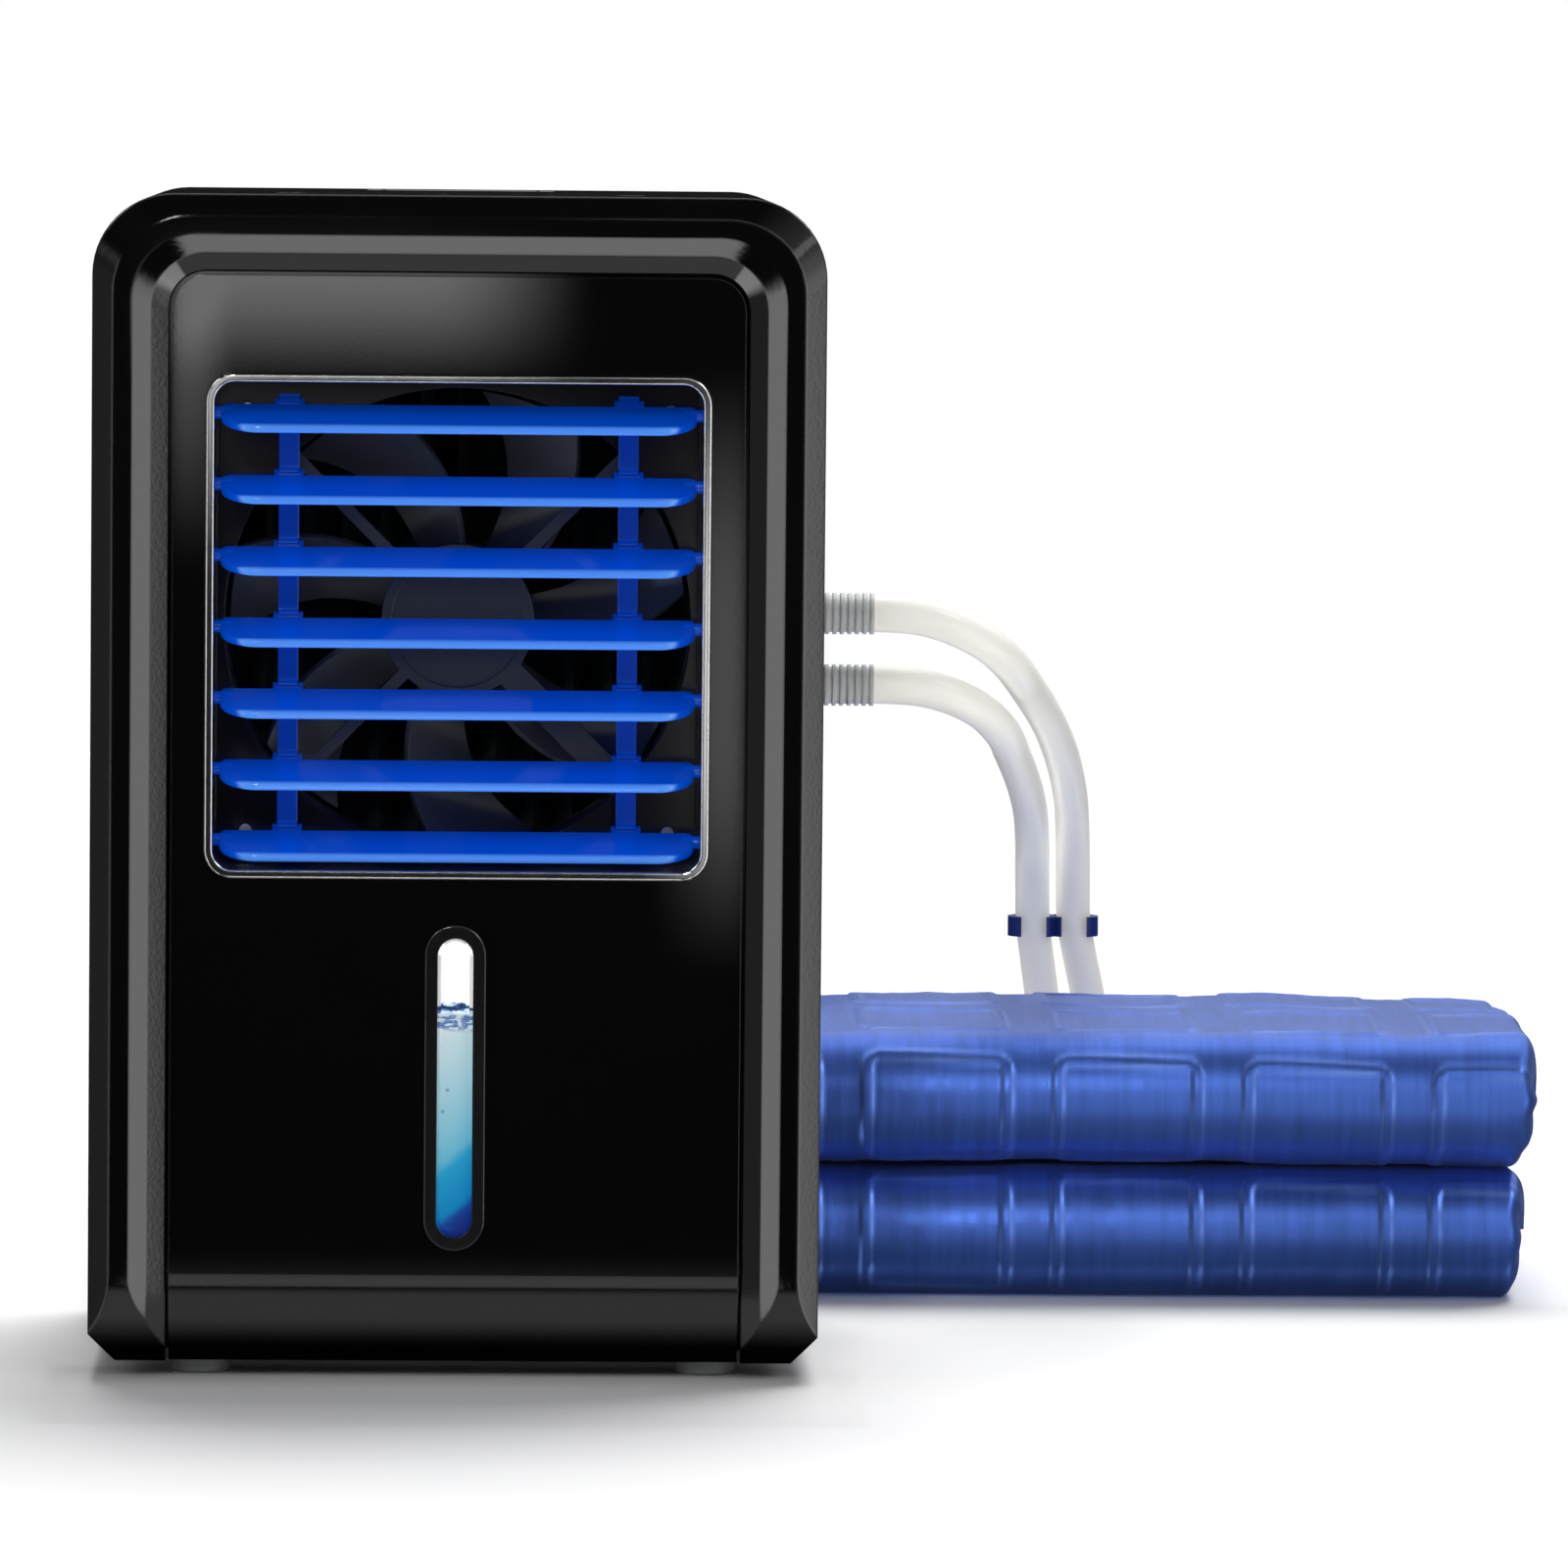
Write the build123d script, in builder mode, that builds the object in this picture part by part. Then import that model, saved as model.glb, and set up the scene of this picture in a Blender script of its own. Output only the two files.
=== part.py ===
"""Water cooling mattress pad: a tabletop host with fan, louvre and pump, two hoses and a folded pad.

Millimetres, +Z up, +X along the width. The host faces -Y. The origin is the middle of the floor under
the host and the pad together.
"""

import os
from math import asin, atan, cos, pi, radians, sin, sqrt, tan

from build123d import *

os.makedirs("parts", exist_ok=True)

# Casing
host_width = 180.0
host_height = 288.0
host_depth = 152.0
foot_height = 4.0
wall = 2.5
seam_depth = 60.0
corner_radius = 20.0
back_edge_radius = 5.0
bottom_cut_width = 6.5
bottom_cut_height = 7.2
bottom_cut_draw = 4.2
toe_height = 22.0
toe_depth = 10.0

# Stepped frame round the front panel, from the outside inwards
bevel_width = 5.2
bevel_depth = 4.0
ridge_radius = 19.0
rim_width = 4.6
rim_radius = 16.0
slope_width = 4.6
slope_drop = 2.2
slope_radius = 13.5
step_width = 4.6
step_drop = 6.2
step_radius = 9.0
panel_gap = 0.7
frame_thickness = 11.0

# Front panel
panel_recess = 5.7
panel_thickness = 3.0
panel_radius = 8.3
panel_toe_depth = 12.0
ledge_width = 4.0
ledge_foot = 26.0

# Air outlet, below the top of the casing
outlet_margin = 46.0
outlet_size = 120.0
outlet_radius = 5.0
trim_width = 2.0
trim_proud = 0.8
trim_thickness = 2.1
trim_round = 0.5
duct_wall = 1.6
duct_hole_gap = 0.4
duct_plate = 2.0
duct_end_depth = 38.0

# Louvre blades
blade_count = 7
blade_pitch = 17.6
blade_top_offset = 0.9
blade_tilt = 16.0
blade_front = 13.5
blade_rear = 4.5
blade_thickness = 2.0
blade_nose_radius = 9.5
blade_tail_radius = 2.0
blade_end_gap = 1.4
blade_pivot_depth = 22.0
blade_edge_round = 0.7
pivot_radius = 1.5
pivot_clearance = 0.05

# Link bars clipped on the rear pins of the blades
link_spread = 42.0
link_width = 5.0
link_thickness = 1.8
link_pin_reach = 7.6
link_pin_radius = 0.9
link_pin_clearance = 0.08
link_eye_radius = 2.1
link_slot = 1.4
link_tail = 2.4
ear_gap = 0.25
ear_thickness = 0.9
ear_height = 2.6

# Fan
fan_size = 120.0
fan_thickness = 25.0
fan_corner = 4.0
fan_bore_radius = 58.0
fan_hole_spacing = 105.0
fan_hole_radius = 2.15
fan_screw_radius = 1.6
fan_screw_clearance = 0.05
fan_screw_head_radius = 3.4
fan_screw_head = 2.4
hub_radius = 19.0
hub_plate = 3.0
hub_disc_radius = 16.6
hub_disc_recess = 0.5
strut_width = 3.0
cable_strut_width = 7.0
strut_depth = 3.0
rotor_gap = 1.0
rotor_length = 18.0
rotor_wall = 1.5
rotor_blades = 7
rotor_tip_gap = 1.2
rotor_blade_thickness = 1.7
rotor_root_chord = 15.0
rotor_tip_chord = 30.0
rotor_root_pitch = 48.0
rotor_tip_pitch = 30.0
rotor_sweep = 22.0
rotor_mid_sweep = 7.3
bearing_radius = 4.0
bearing_wall = 1.4
bearing_length = 13.0
shaft_radius = 1.5
shaft_clearance = 0.05

# Wet cooling wick behind the fan, in its frame on the drip tray
wick_gap = 4.0
wick_width = 116.0
wick_thickness = 18.0
wick_sheet = 2.0
wick_pleats = 12
wick_border = 4.0
wick_back_lip = 1.0
tray_height = 14.0
tray_wall = 2.0
tray_margin = 4.0
tray_floor = 2.0
tray_fan_gap = 4.0
drain_x = -29.0

# Water tank
tank_side_gap = 5.3
tank_front_depth = 36.0
tank_rear_gap = 6.0
tank_corner = 6.0
tank_wall = 2.0
tank_lid_thickness = 2.0

# Pump, standing on the tank floor
pump_radius = 21.0
pump_height = 30.0
pump_chamber_radius = 16.0
pump_chamber_depth = 8.0
pump_cover_thickness = 3.0
pump_cover_round = 1.0
pump_inlet_radius = 5.0
impeller_radius = 14.0
impeller_disc = 1.5
impeller_vane_height = 4.4
impeller_vane_thickness = 1.2
impeller_vanes = 6
impeller_hub_radius = 3.5
impeller_vane_root = 2.8
impeller_vane_bend = 8.7
impeller_vane_tip_gap = 1.0
impeller_bend_turn = 20.0
impeller_tip_turn = 54.0
impeller_gap = 0.8
pump_shaft_bore_depth = 12.0
pump_spout_radius = 4.0
pump_spout_length = 8.0

# Hose connectors on the right wall and the tubes behind them
connector_margin = 34.0
supply_height = 184.4
connector_spacing = 18.4
connector_bore = 2.0
connector_thread_radius = 4.0
connector_hole_gap = 0.1
connector_flange_radius = 5.7
connector_flange = 2.3
connector_sleeve_radius = 5.3
connector_sleeve = 14.5
connector_groove = 0.5
connector_grooves = 7
connector_tail = 4.0
nut_across = 14.0
nut_thickness = 4.0
tube_radius = 4.0
tube_lead = 9.0
tube_spacing = 12.0
return_tube_run = 15.5
tube_bend = 8.0
return_tube_reach = 8.0
lid_hole_gap = 0.5

# Level window, below the air outlet
gauge_margin = 13.3
gauge_ring_width = 15.0
gauge_ring_length = 80.6
gauge_ring_proud = 0.8
gauge_ring_round = 0.4
gauge_width = 8.7
gauge_length = 74.0
gauge_collar = 1.0
gauge_collar_gap = 0.1
lens_thickness = 1.6
lens_round = 0.4
lens_gap = 0.05
lens_seat = 0.8
chamber_depth = 6.0
chamber_wall = 1.6
chamber_spout_radius = 3.0
chamber_spout_rise = 9.0
water_headroom = 19.0
water_gap = 0.05

# Buttons in the shallow pocket of the top deck
button_depth = 36.0
button_spacing = 28.0
button_radius = 6.0
button_gap = 0.2
button_proud = 0.8
button_round = 0.48
button_flange_radius = 7.4
button_flange = 1.1
button_seat_gap = 0.1
button_stem_radius = 1.6
button_stem = 7.0
button_travel = 0.8
stem_entry = 2.0
deck_pocket_length = 92.0
deck_pocket_width = 19.0
deck_pocket_depth = 1.0
switch_size = 6.4
switch_height = 4.0
switch_well = 0.2
board_length = 112.0
board_width = 24.0
board_thickness = 1.6
board_post_radius = 3.0
board_post_x = 50.0

# Filler lid on the rear of the top deck
filler_margin = 17.0
filler_length = 46.0
filler_width = 26.0
filler_seat = 4.0
filler_floor = 3.6
lid_thickness = 2.2
lid_round = 0.55
lid_gap = 0.3
lid_plug = 3.0
lid_plug_gap = 1.0
lid_floor_gap = 0.3
barrel_radius = 2.2
barrel_length = 39.0
barrel_neck = 2.6
barrel_groove_gap = 0.3
lid_below_hinge = 0.1
hinge_room = 3.4
hinge_pin_radius = 1.25
hinge_pin_clearance = 0.05
hinge_ear_width = 4.0
hinge_ear_gap = 0.5
funnel_wall = 1.5
funnel_taper = 32.0
funnel_neck = 18.0
funnel_neck_radius = 5.0
funnel_margin = 2.0
funnel_reach = 6.0

# Rear intake
intake_height = 176.0
intake_width = 124.0
intake_length = 104.0
intake_gap = 0.2
intake_lip = 3.0
intake_lip_thickness = 2.0
intake_slots = 11
intake_slot = 4.5
intake_slot_pitch = 8.4
intake_bars = 3
intake_bar = 3.0
filter_thickness = 2.5

# Low-voltage inlet at the back
jack_margin = 24.0
jack_height = 40.0
jack_radius = 5.5
jack_flange_radius = 7.5
jack_flange = 1.2
jack_tank_gap = 0.5
jack_socket_radius = 2.9
jack_pin_radius = 1.0

# Casing screws, from the back into the front shell
post_bite = 0.8
post_low_margin = 18.0
post_high_margin = 28.0
post_radius = 4.0
post_counterbore = 3.2
post_head_depth = 12.0
casing_screw_radius = 1.4
casing_screw_head = 2.4
casing_screw_bite = 12.0
casing_screw_clearance = 0.05

# Feet
foot_radius = 7.5
foot_round = 1.2
foot_margin = 27.4
foot_front_depth = 24.0
foot_rear_margin = 22.0

# Folded pad, behind the host and to its right
pad_front_depth = 177.0
pad_left = -70.0
pad_width = 350.0
pad_depth = 130.0
pad_height = 70.0
pad_roll = 17.0
pad_groove = 12.0
pad_groove_gap = 1.2
pad_crown = 1.5
pad_back_bulge = 14.0
pad_end_draw = 8.0
pad_end_inset = 6.0
pad_end_round = 3.0
pad_end_share = 0.35
port_radius = 6.0
port_bore = 3.2
port_length = 15.0
port_socket = 6.0

# Hoses: outer diameter, and the two put-away coils behind the pad
hose_diameter = 9.5
hose_spacing = 0.7
coil_outer_radius = 57.0
coil_turns = 3.583
supply_coil_x = 173.0
return_coil_x = 158.0
coil_start_depth = 400.0
coil_flat_steps = 6
coil_samples = 900
climb = 0.25
bend_share = 0.45
tail_run = 22.0
clip_height = 88.0
clip_width = 5.5
clip_wall = 1.5
clip_gap = 0.7
clip_mouth = 7.0
supply_in_clip = (171.0, 317.2)
return_in_clip = (159.8, 316.35)

# How far a cutting shape runs past what it cuts
overrun = 1.0

# Places that follow from the sizes above
assembly_left = -host_width / 2
assembly_right = pad_left + pad_width
assembly_back = pad_front_depth + pad_depth + port_length
host_x = -(assembly_left + assembly_right) / 2
front_y = -assembly_back / 2
half_width = host_width / 2
hose_radius = hose_diameter / 2
host_top = foot_height + host_height
deck_inside = host_top - wall
floor_inside = foot_height + wall
ridge_half = half_width - bevel_width
rim_half = ridge_half - rim_width
slope_half = rim_half - slope_width
step_half = slope_half - step_width
panel_half = step_half - panel_gap
step_top = host_top - (half_width - step_half)
panel_back = panel_recess + panel_thickness
fan_back = duct_end_depth + fan_thickness
outlet_height = host_top - outlet_margin - outlet_size / 2
gauge_height = outlet_height - outlet_size / 2 - gauge_margin - gauge_ring_length / 2
water_level = gauge_height + gauge_length / 2 - water_headroom
chamber_spout_height = gauge_height - gauge_length / 2 + chamber_spout_rise
return_height = supply_height - connector_spacing
connector_depth = host_depth - connector_margin
connector_end = half_width + connector_flange + connector_sleeve
connector_inner = half_width - wall - nut_thickness - connector_tail
return_tube_x = connector_inner - return_tube_run
supply_tube_x = return_tube_x - tube_spacing
spout_end = supply_tube_x - tube_lead
pump_x = spout_end - pump_spout_length - pump_radius
foot_spread = half_width - foot_margin
pocket_floor = host_top - deck_pocket_depth
filler_depth = host_depth - filler_margin - hinge_room - barrel_neck - filler_seat - filler_width / 2
jack_x = half_width - jack_margin
jack_length = wall + tank_rear_gap - jack_tank_gap
post_x = half_width - wall - post_radius + post_bite
post_low = foot_height + post_low_margin
post_high = host_top - post_high_margin
post_places = [(-post_x, post_low), (post_x, post_low), (-post_x, post_high), (post_x, post_high)]
stem_end = deck_inside - button_seat_gap - button_flange - button_stem
switch_top = stem_end + stem_entry
board_top = switch_top - switch_height


def front_plane(depth):
    """Upright plane this far behind the ridge of the frame; x is across, y is the height."""
    return Plane(origin=(host_x, front_y + depth, 0), x_dir=(1, 0, 0), z_dir=(0, -1, 0))


def level_plane(height):
    """Level plane; x is across, y is the depth behind the ridge of the frame."""
    return Plane(origin=(host_x, front_y, height), x_dir=(1, 0, 0), z_dir=(0, 0, 1))


def side_plane(across=0.0):
    """Upright plane seen from the right; x is the depth, y is the height."""
    return Plane(origin=(host_x + across, front_y, 0), x_dir=(0, 1, 0), z_dir=(1, 0, 0))


def finish(piece, name):
    """Names a finished piece and writes it."""
    piece.part.label = name
    export_step(piece.part, f"parts/{name}.step")


def arch(half, low, high, radius):
    """Upright outline with two round upper corners and a square foot."""
    with BuildSketch() as outline:
        with BuildLine():
            edge = FilletPolyline((-half, low), (-half, high), (half, high), (half, low), radius=radius)
            Line(edge @ 1, edge @ 0)
        make_face()
    return outline.sketch


def cut_arch(half, low, high, radius, cut_width, cut_height):
    """The same outline with its two lower corners cut off."""
    with BuildSketch() as outline:
        with BuildLine():
            side = low + cut_height
            edge = FilletPolyline((-half, side), (-half, high), (half, high), (half, side), radius=radius)
            Polyline(edge @ 1, (half - cut_width, low), (-half + cut_width, low), edge @ 0)
        make_face()
    return outline.sketch


def toe(start_depth, foot_depth, foot, height, reach):
    """Side view of what lies in front of a face whose foot bends back on one arc."""
    drop = foot_depth - start_depth
    radius = (height**2 + drop**2) / (2 * drop)
    middle = asin(height / radius) / 2
    top_point = (start_depth, foot + height)
    middle_point = (start_depth + radius * (1 - cos(middle)), foot + height - radius * sin(middle))
    foot_point = (foot_depth, foot)
    with BuildSketch() as outline:
        with BuildLine():
            ThreePointArc(top_point, middle_point, foot_point)
            Polyline(foot_point, (foot_depth, foot - reach), (start_depth - reach, foot - reach),
                     (start_depth - reach, foot + height), top_point)
        make_face()
    return outline.sketch


# Front shell: the frame with its bands, the front half of the walls, the ledge behind the panel
with BuildPart() as front_cavity:
    with BuildSketch(front_plane(frame_thickness)):
        add(cut_arch(half_width - wall, floor_inside, deck_inside, corner_radius - wall,
                     bottom_cut_width, bottom_cut_height))
    extrude(amount=frame_thickness - seam_depth)

with BuildPart() as front_shell:
    with BuildSketch(front_plane(bevel_depth)):
        add(cut_arch(half_width, foot_height, host_top, corner_radius, bottom_cut_width, bottom_cut_height))
    extrude(amount=bevel_depth - seam_depth)
    with BuildSketch(front_plane(bevel_depth)):
        add(cut_arch(half_width, foot_height, host_top, corner_radius, bottom_cut_width, bottom_cut_height))
    with BuildSketch(front_plane(0)):
        add(cut_arch(ridge_half, foot_height, host_top - bevel_width, ridge_radius,
                     bottom_cut_width - bottom_cut_draw, bottom_cut_height - bottom_cut_draw))
    loft(ruled=True)
    # slope that leads inwards from the rim
    with BuildSketch(front_plane(0)):
        add(arch(rim_half, 0, host_top - (half_width - rim_half), rim_radius))
    with BuildSketch(front_plane(slope_drop)):
        add(arch(slope_half, 0, host_top - (half_width - slope_half), slope_radius))
    loft(ruled=True, mode=Mode.SUBTRACT)
    # steeper step down to the panel
    with BuildSketch(front_plane(slope_drop)):
        add(arch(slope_half, 0, host_top - (half_width - slope_half), slope_radius))
    with BuildSketch(front_plane(step_drop)):
        add(arch(step_half, 0, step_top, step_radius))
    loft(ruled=True, mode=Mode.SUBTRACT)
    # opening for the panel, narrower behind it where the ledge runs
    with BuildSketch(front_plane(step_drop)):
        add(arch(step_half, 0, step_top, step_radius))
    extrude(amount=step_drop - panel_back, mode=Mode.SUBTRACT)
    with BuildSketch(front_plane(panel_back)):
        add(arch(step_half - ledge_width, ledge_foot, step_top - ledge_width, step_radius - ledge_width))
    extrude(amount=panel_back - frame_thickness, mode=Mode.SUBTRACT)
    with BuildSketch(front_plane(panel_back)):
        with Locations((0, ledge_foot / 2)):
            Rectangle(2 * step_half, ledge_foot)
    extrude(amount=panel_back - frame_thickness, mode=Mode.SUBTRACT)
    add(front_cavity.part, mode=Mode.SUBTRACT)
    # the floor stops behind the foot of the panel
    with BuildSketch(level_plane(0)):
        with Locations((0, (panel_toe_depth + panel_thickness + panel_gap) / 2)):
            Rectangle(2 * step_half, panel_toe_depth + panel_thickness + panel_gap)
    extrude(amount=floor_inside, mode=Mode.SUBTRACT)
    # the whole front bends back at its foot
    with BuildSketch(side_plane()):
        add(toe(0, toe_depth, foot_height, toe_height, frame_thickness))
    extrude(amount=host_width, both=True, mode=Mode.SUBTRACT)
    # pocket and holes for the buttons, posts for the board
    with BuildSketch(level_plane(host_top)):
        with Locations((0, button_depth)):
            SlotOverall(deck_pocket_length, deck_pocket_width)
    extrude(amount=-deck_pocket_depth, mode=Mode.SUBTRACT)
    with BuildSketch(level_plane(host_top)):
        with Locations((0, button_depth)):
            with GridLocations(button_spacing, 0, 3, 1):
                Circle(button_radius + button_gap)
    extrude(amount=-wall, mode=Mode.SUBTRACT)
    with BuildSketch(level_plane(deck_inside)):
        with Locations((-board_post_x, button_depth), (board_post_x, button_depth)):
            Circle(board_post_radius)
    extrude(amount=board_top - deck_inside)
    # bosses that take the casing screws
    with BuildSketch(front_plane(seam_depth)):
        with Locations(*post_places):
            Circle(post_radius)
    extrude(amount=casing_screw_bite + post_radius)
    with BuildSketch(front_plane(seam_depth)):
        with Locations(*post_places):
            Circle(casing_screw_radius + casing_screw_clearance)
    extrude(amount=casing_screw_bite, mode=Mode.SUBTRACT)
finish(front_shell, "front_shell")


# Rear shell: the back half of the walls, the seat of the filler lid, the posts of the casing screws
hinge_depth = filler_depth + filler_width / 2 + filler_seat + barrel_neck
hinge_height = host_top - barrel_radius
lid_pocket_floor = hinge_height - lid_floor_gap - lid_below_hinge
lid_front_depth = filler_depth - filler_width / 2 - filler_seat
lid_half = filler_length / 2 + filler_seat
lid_pocket_front = lid_front_depth - lid_gap
lid_pocket_rear = hinge_depth + hinge_room
seat_bottom = lid_pocket_floor - filler_floor

with BuildPart() as rear_shell:
    with BuildSketch(front_plane(seam_depth)):
        add(cut_arch(half_width, foot_height, host_top, corner_radius, bottom_cut_width, bottom_cut_height))
    extrude(amount=seam_depth - host_depth)
    fillet(rear_shell.faces().sort_by(Axis.Y)[-1].edges(), back_edge_radius)
    with BuildSketch(front_plane(seam_depth)):
        add(cut_arch(half_width - wall, floor_inside, deck_inside, corner_radius - wall,
                     bottom_cut_width, bottom_cut_height))
    extrude(amount=seam_depth - host_depth + wall, mode=Mode.SUBTRACT)
    # sunken seat of the lid, open in the middle
    with BuildSketch(level_plane(deck_inside)):
        with Locations((0, (lid_pocket_front + lid_pocket_rear) / 2)):
            Rectangle(2 * (lid_half + lid_gap + wall), lid_pocket_rear - lid_pocket_front + 2 * wall)
    extrude(amount=seat_bottom - deck_inside)
    with BuildSketch(level_plane(host_top)):
        with Locations((0, (lid_pocket_front + lid_pocket_rear) / 2)):
            Rectangle(2 * (lid_half + lid_gap), lid_pocket_rear - lid_pocket_front)
    extrude(amount=lid_pocket_floor - host_top, mode=Mode.SUBTRACT)
    with BuildSketch(level_plane(host_top)):
        with Locations((0, filler_depth)):
            Rectangle(filler_length, filler_width)
    extrude(amount=seat_bottom - host_top, mode=Mode.SUBTRACT)
    # groove for the hinge barrel, and two ears that carry its pin
    with BuildSketch(side_plane()):
        with Locations((hinge_depth, hinge_height)):
            Circle(barrel_radius + barrel_groove_gap)
    extrude(amount=barrel_length / 2 + hinge_ear_gap, both=True, mode=Mode.SUBTRACT)
    for side in (-1, 1):
        ear_middle = side * (barrel_length / 2 + hinge_ear_gap + hinge_ear_width / 2)
        with BuildSketch(side_plane(ear_middle)):
            with Locations((hinge_depth, hinge_height)):
                Circle(barrel_radius)
            with Locations((hinge_depth, (hinge_height + lid_pocket_floor) / 2)):
                Rectangle(2 * barrel_radius, hinge_height - lid_pocket_floor)
        extrude(amount=hinge_ear_width / 2, both=True)
    with BuildSketch(side_plane()):
        with Locations((hinge_depth, hinge_height)):
            Circle(hinge_pin_radius)
    extrude(amount=barrel_length / 2 + hinge_ear_gap + hinge_ear_width, both=True, mode=Mode.SUBTRACT)
    # opening for the intake grille, with a lip inside that it rests on
    with BuildSketch(front_plane(host_depth - wall)):
        with Locations((0, intake_height)):
            Rectangle(intake_width + 2 * wall, intake_length + 2 * wall)
    extrude(amount=intake_lip_thickness)
    with BuildSketch(front_plane(host_depth)):
        with Locations((0, intake_height)):
            Rectangle(intake_width + 2 * intake_gap, intake_length + 2 * intake_gap)
    extrude(amount=wall, mode=Mode.SUBTRACT)
    with BuildSketch(front_plane(host_depth)):
        with Locations((0, intake_height)):
            Rectangle(intake_width - 2 * intake_lip, intake_length - 2 * intake_lip)
    extrude(amount=wall + intake_lip_thickness, mode=Mode.SUBTRACT)
    # holes for the hose connectors and the low-voltage inlet
    with BuildSketch(side_plane(half_width)):
        with Locations((connector_depth, supply_height), (connector_depth, return_height)):
            Circle(connector_thread_radius + connector_hole_gap)
    extrude(amount=-wall, mode=Mode.SUBTRACT)
    with BuildSketch(front_plane(host_depth)):
        with Locations((jack_x, jack_height)):
            Circle(jack_radius)
    extrude(amount=wall, mode=Mode.SUBTRACT)
    # long screw posts along the walls, bored deep from the back
    with BuildSketch(front_plane(seam_depth)):
        with Locations(*post_places):
            Circle(post_radius)
    extrude(amount=seam_depth - host_depth + wall)
    with BuildSketch(front_plane(seam_depth)):
        with Locations(*post_places):
            Circle(casing_screw_radius + casing_screw_clearance)
    extrude(amount=-post_head_depth, mode=Mode.SUBTRACT)
    with BuildSketch(front_plane(seam_depth + post_head_depth)):
        with Locations(*post_places):
            Circle(post_counterbore)
    extrude(amount=seam_depth + post_head_depth - host_depth, mode=Mode.SUBTRACT)
finish(rear_shell, "rear_shell")

with BuildPart() as housing_screws:
    with BuildSketch(front_plane(seam_depth + post_head_depth)):
        with Locations(*post_places):
            Circle(casing_screw_radius)
    extrude(amount=post_head_depth + casing_screw_bite - casing_screw_clearance)
    with BuildSketch(front_plane(seam_depth + post_head_depth)):
        with Locations(*post_places):
            Circle(post_counterbore - casing_screw_clearance)
    extrude(amount=-casing_screw_head)
finish(housing_screws, "housing_screws")


# Front panel: flat plate whose foot bends back with the frame
panel_top = step_top - panel_gap
outlet_hole = outlet_size + 2 * duct_wall + 2 * duct_hole_gap
collar_width = gauge_width + 2 * gauge_collar
collar_length = gauge_length + 2 * gauge_collar
window_width = collar_width + 2 * gauge_collar_gap
window_length = collar_length + 2 * gauge_collar_gap

with BuildPart() as front_panel:
    with BuildSketch(front_plane(panel_recess)):
        add(arch(panel_half, foot_height, panel_top, panel_radius))
    extrude(amount=-(panel_toe_depth + panel_thickness - panel_recess))
    # back face, parallel to the front one
    with BuildSketch(side_plane()):
        add(toe(panel_recess, panel_toe_depth, foot_height, toe_height, panel_recess))
    extrude(amount=half_width, both=True, mode=Mode.SUBTRACT)
    with BuildSketch(side_plane()):
        with BuildLine():
            drop = panel_toe_depth - panel_recess
            bend = (toe_height**2 + drop**2) / (2 * drop)
            half_turn = asin(toe_height / bend) / 2
            bend_top = foot_height + toe_height
            Polyline((panel_back, panel_top + overrun), (panel_back, bend_top))
            ThreePointArc(
                (panel_back, bend_top),
                (panel_back + bend * (1 - cos(half_turn)), bend_top - bend * sin(half_turn)),
                (panel_back + drop, foot_height),
            )
            Polyline(
                (panel_back + drop, foot_height),
                (panel_back + drop, foot_height - overrun),
                (2 * panel_toe_depth + panel_thickness, foot_height - overrun),
                (2 * panel_toe_depth + panel_thickness, panel_top + overrun),
                (panel_back, panel_top + overrun),
            )
        make_face()
    extrude(amount=half_width, both=True, mode=Mode.SUBTRACT)
    with BuildSketch(front_plane(0)):
        with Locations((0, outlet_height)):
            RectangleRounded(outlet_hole, outlet_hole, outlet_radius + duct_wall + duct_hole_gap)
        with Locations((0, gauge_height)):
            SlotOverall(window_length, window_width, rotation=90)
    extrude(amount=-2 * panel_toe_depth, mode=Mode.SUBTRACT)
finish(front_panel, "front_panel")


# Air outlet: bright trim ring in front of a square duct that ends in a plate with the fan's round bore
trim_front = panel_recess - trim_proud
duct_front = trim_front + trim_thickness
pin_hole = pivot_radius + pivot_clearance
blade_heights = [
    outlet_height - blade_top_offset + blade_pitch * ((blade_count - 1) / 2 - place)
    for place in range(blade_count)
]

with BuildPart() as louvre_bezel:
    with BuildSketch(front_plane(duct_front)):
        with Locations((0, outlet_height)):
            RectangleRounded(outlet_size + 2 * trim_width, outlet_size + 2 * trim_width,
                             outlet_radius + trim_width)
            RectangleRounded(outlet_size, outlet_size, outlet_radius, mode=Mode.SUBTRACT)
    extrude(amount=trim_thickness)
    fillet(louvre_bezel.faces().sort_by(Axis.Y)[0].edges(), trim_round)
finish(louvre_bezel, "louvre_bezel")

with BuildPart() as louvre_frame:
    with BuildSketch(front_plane(duct_end_depth)):
        with Locations((0, outlet_height)):
            RectangleRounded(outlet_size + 2 * duct_wall, outlet_size + 2 * duct_wall,
                             outlet_radius + duct_wall)
    extrude(amount=duct_end_depth - duct_front)
    # flange behind the panel
    with BuildSketch(front_plane(panel_back)):
        with Locations((0, outlet_height)):
            RectangleRounded(outlet_hole + 2 * ledge_width, outlet_hole + 2 * ledge_width, ledge_width)
    extrude(amount=-duct_plate)
    with BuildSketch(front_plane(duct_end_depth - duct_plate)):
        with Locations((0, outlet_height)):
            RectangleRounded(outlet_size, outlet_size, outlet_radius)
    extrude(amount=duct_end_depth, mode=Mode.SUBTRACT)
    with BuildSketch(front_plane(duct_end_depth)):
        with Locations((0, outlet_height)):
            Circle(fan_bore_radius)
            with GridLocations(fan_hole_spacing, fan_hole_spacing, 2, 2):
                Circle(fan_screw_radius + fan_screw_clearance)
    extrude(amount=duct_plate, mode=Mode.SUBTRACT)
    # holes that the blades turn in
    with BuildSketch(side_plane()):
        with Locations(*[(blade_pivot_depth, height) for height in blade_heights]):
            Circle(pin_hole)
    extrude(amount=outlet_size / 2 + duct_wall, both=True, mode=Mode.SUBTRACT)
finish(louvre_frame, "louvre_frame")


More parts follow.
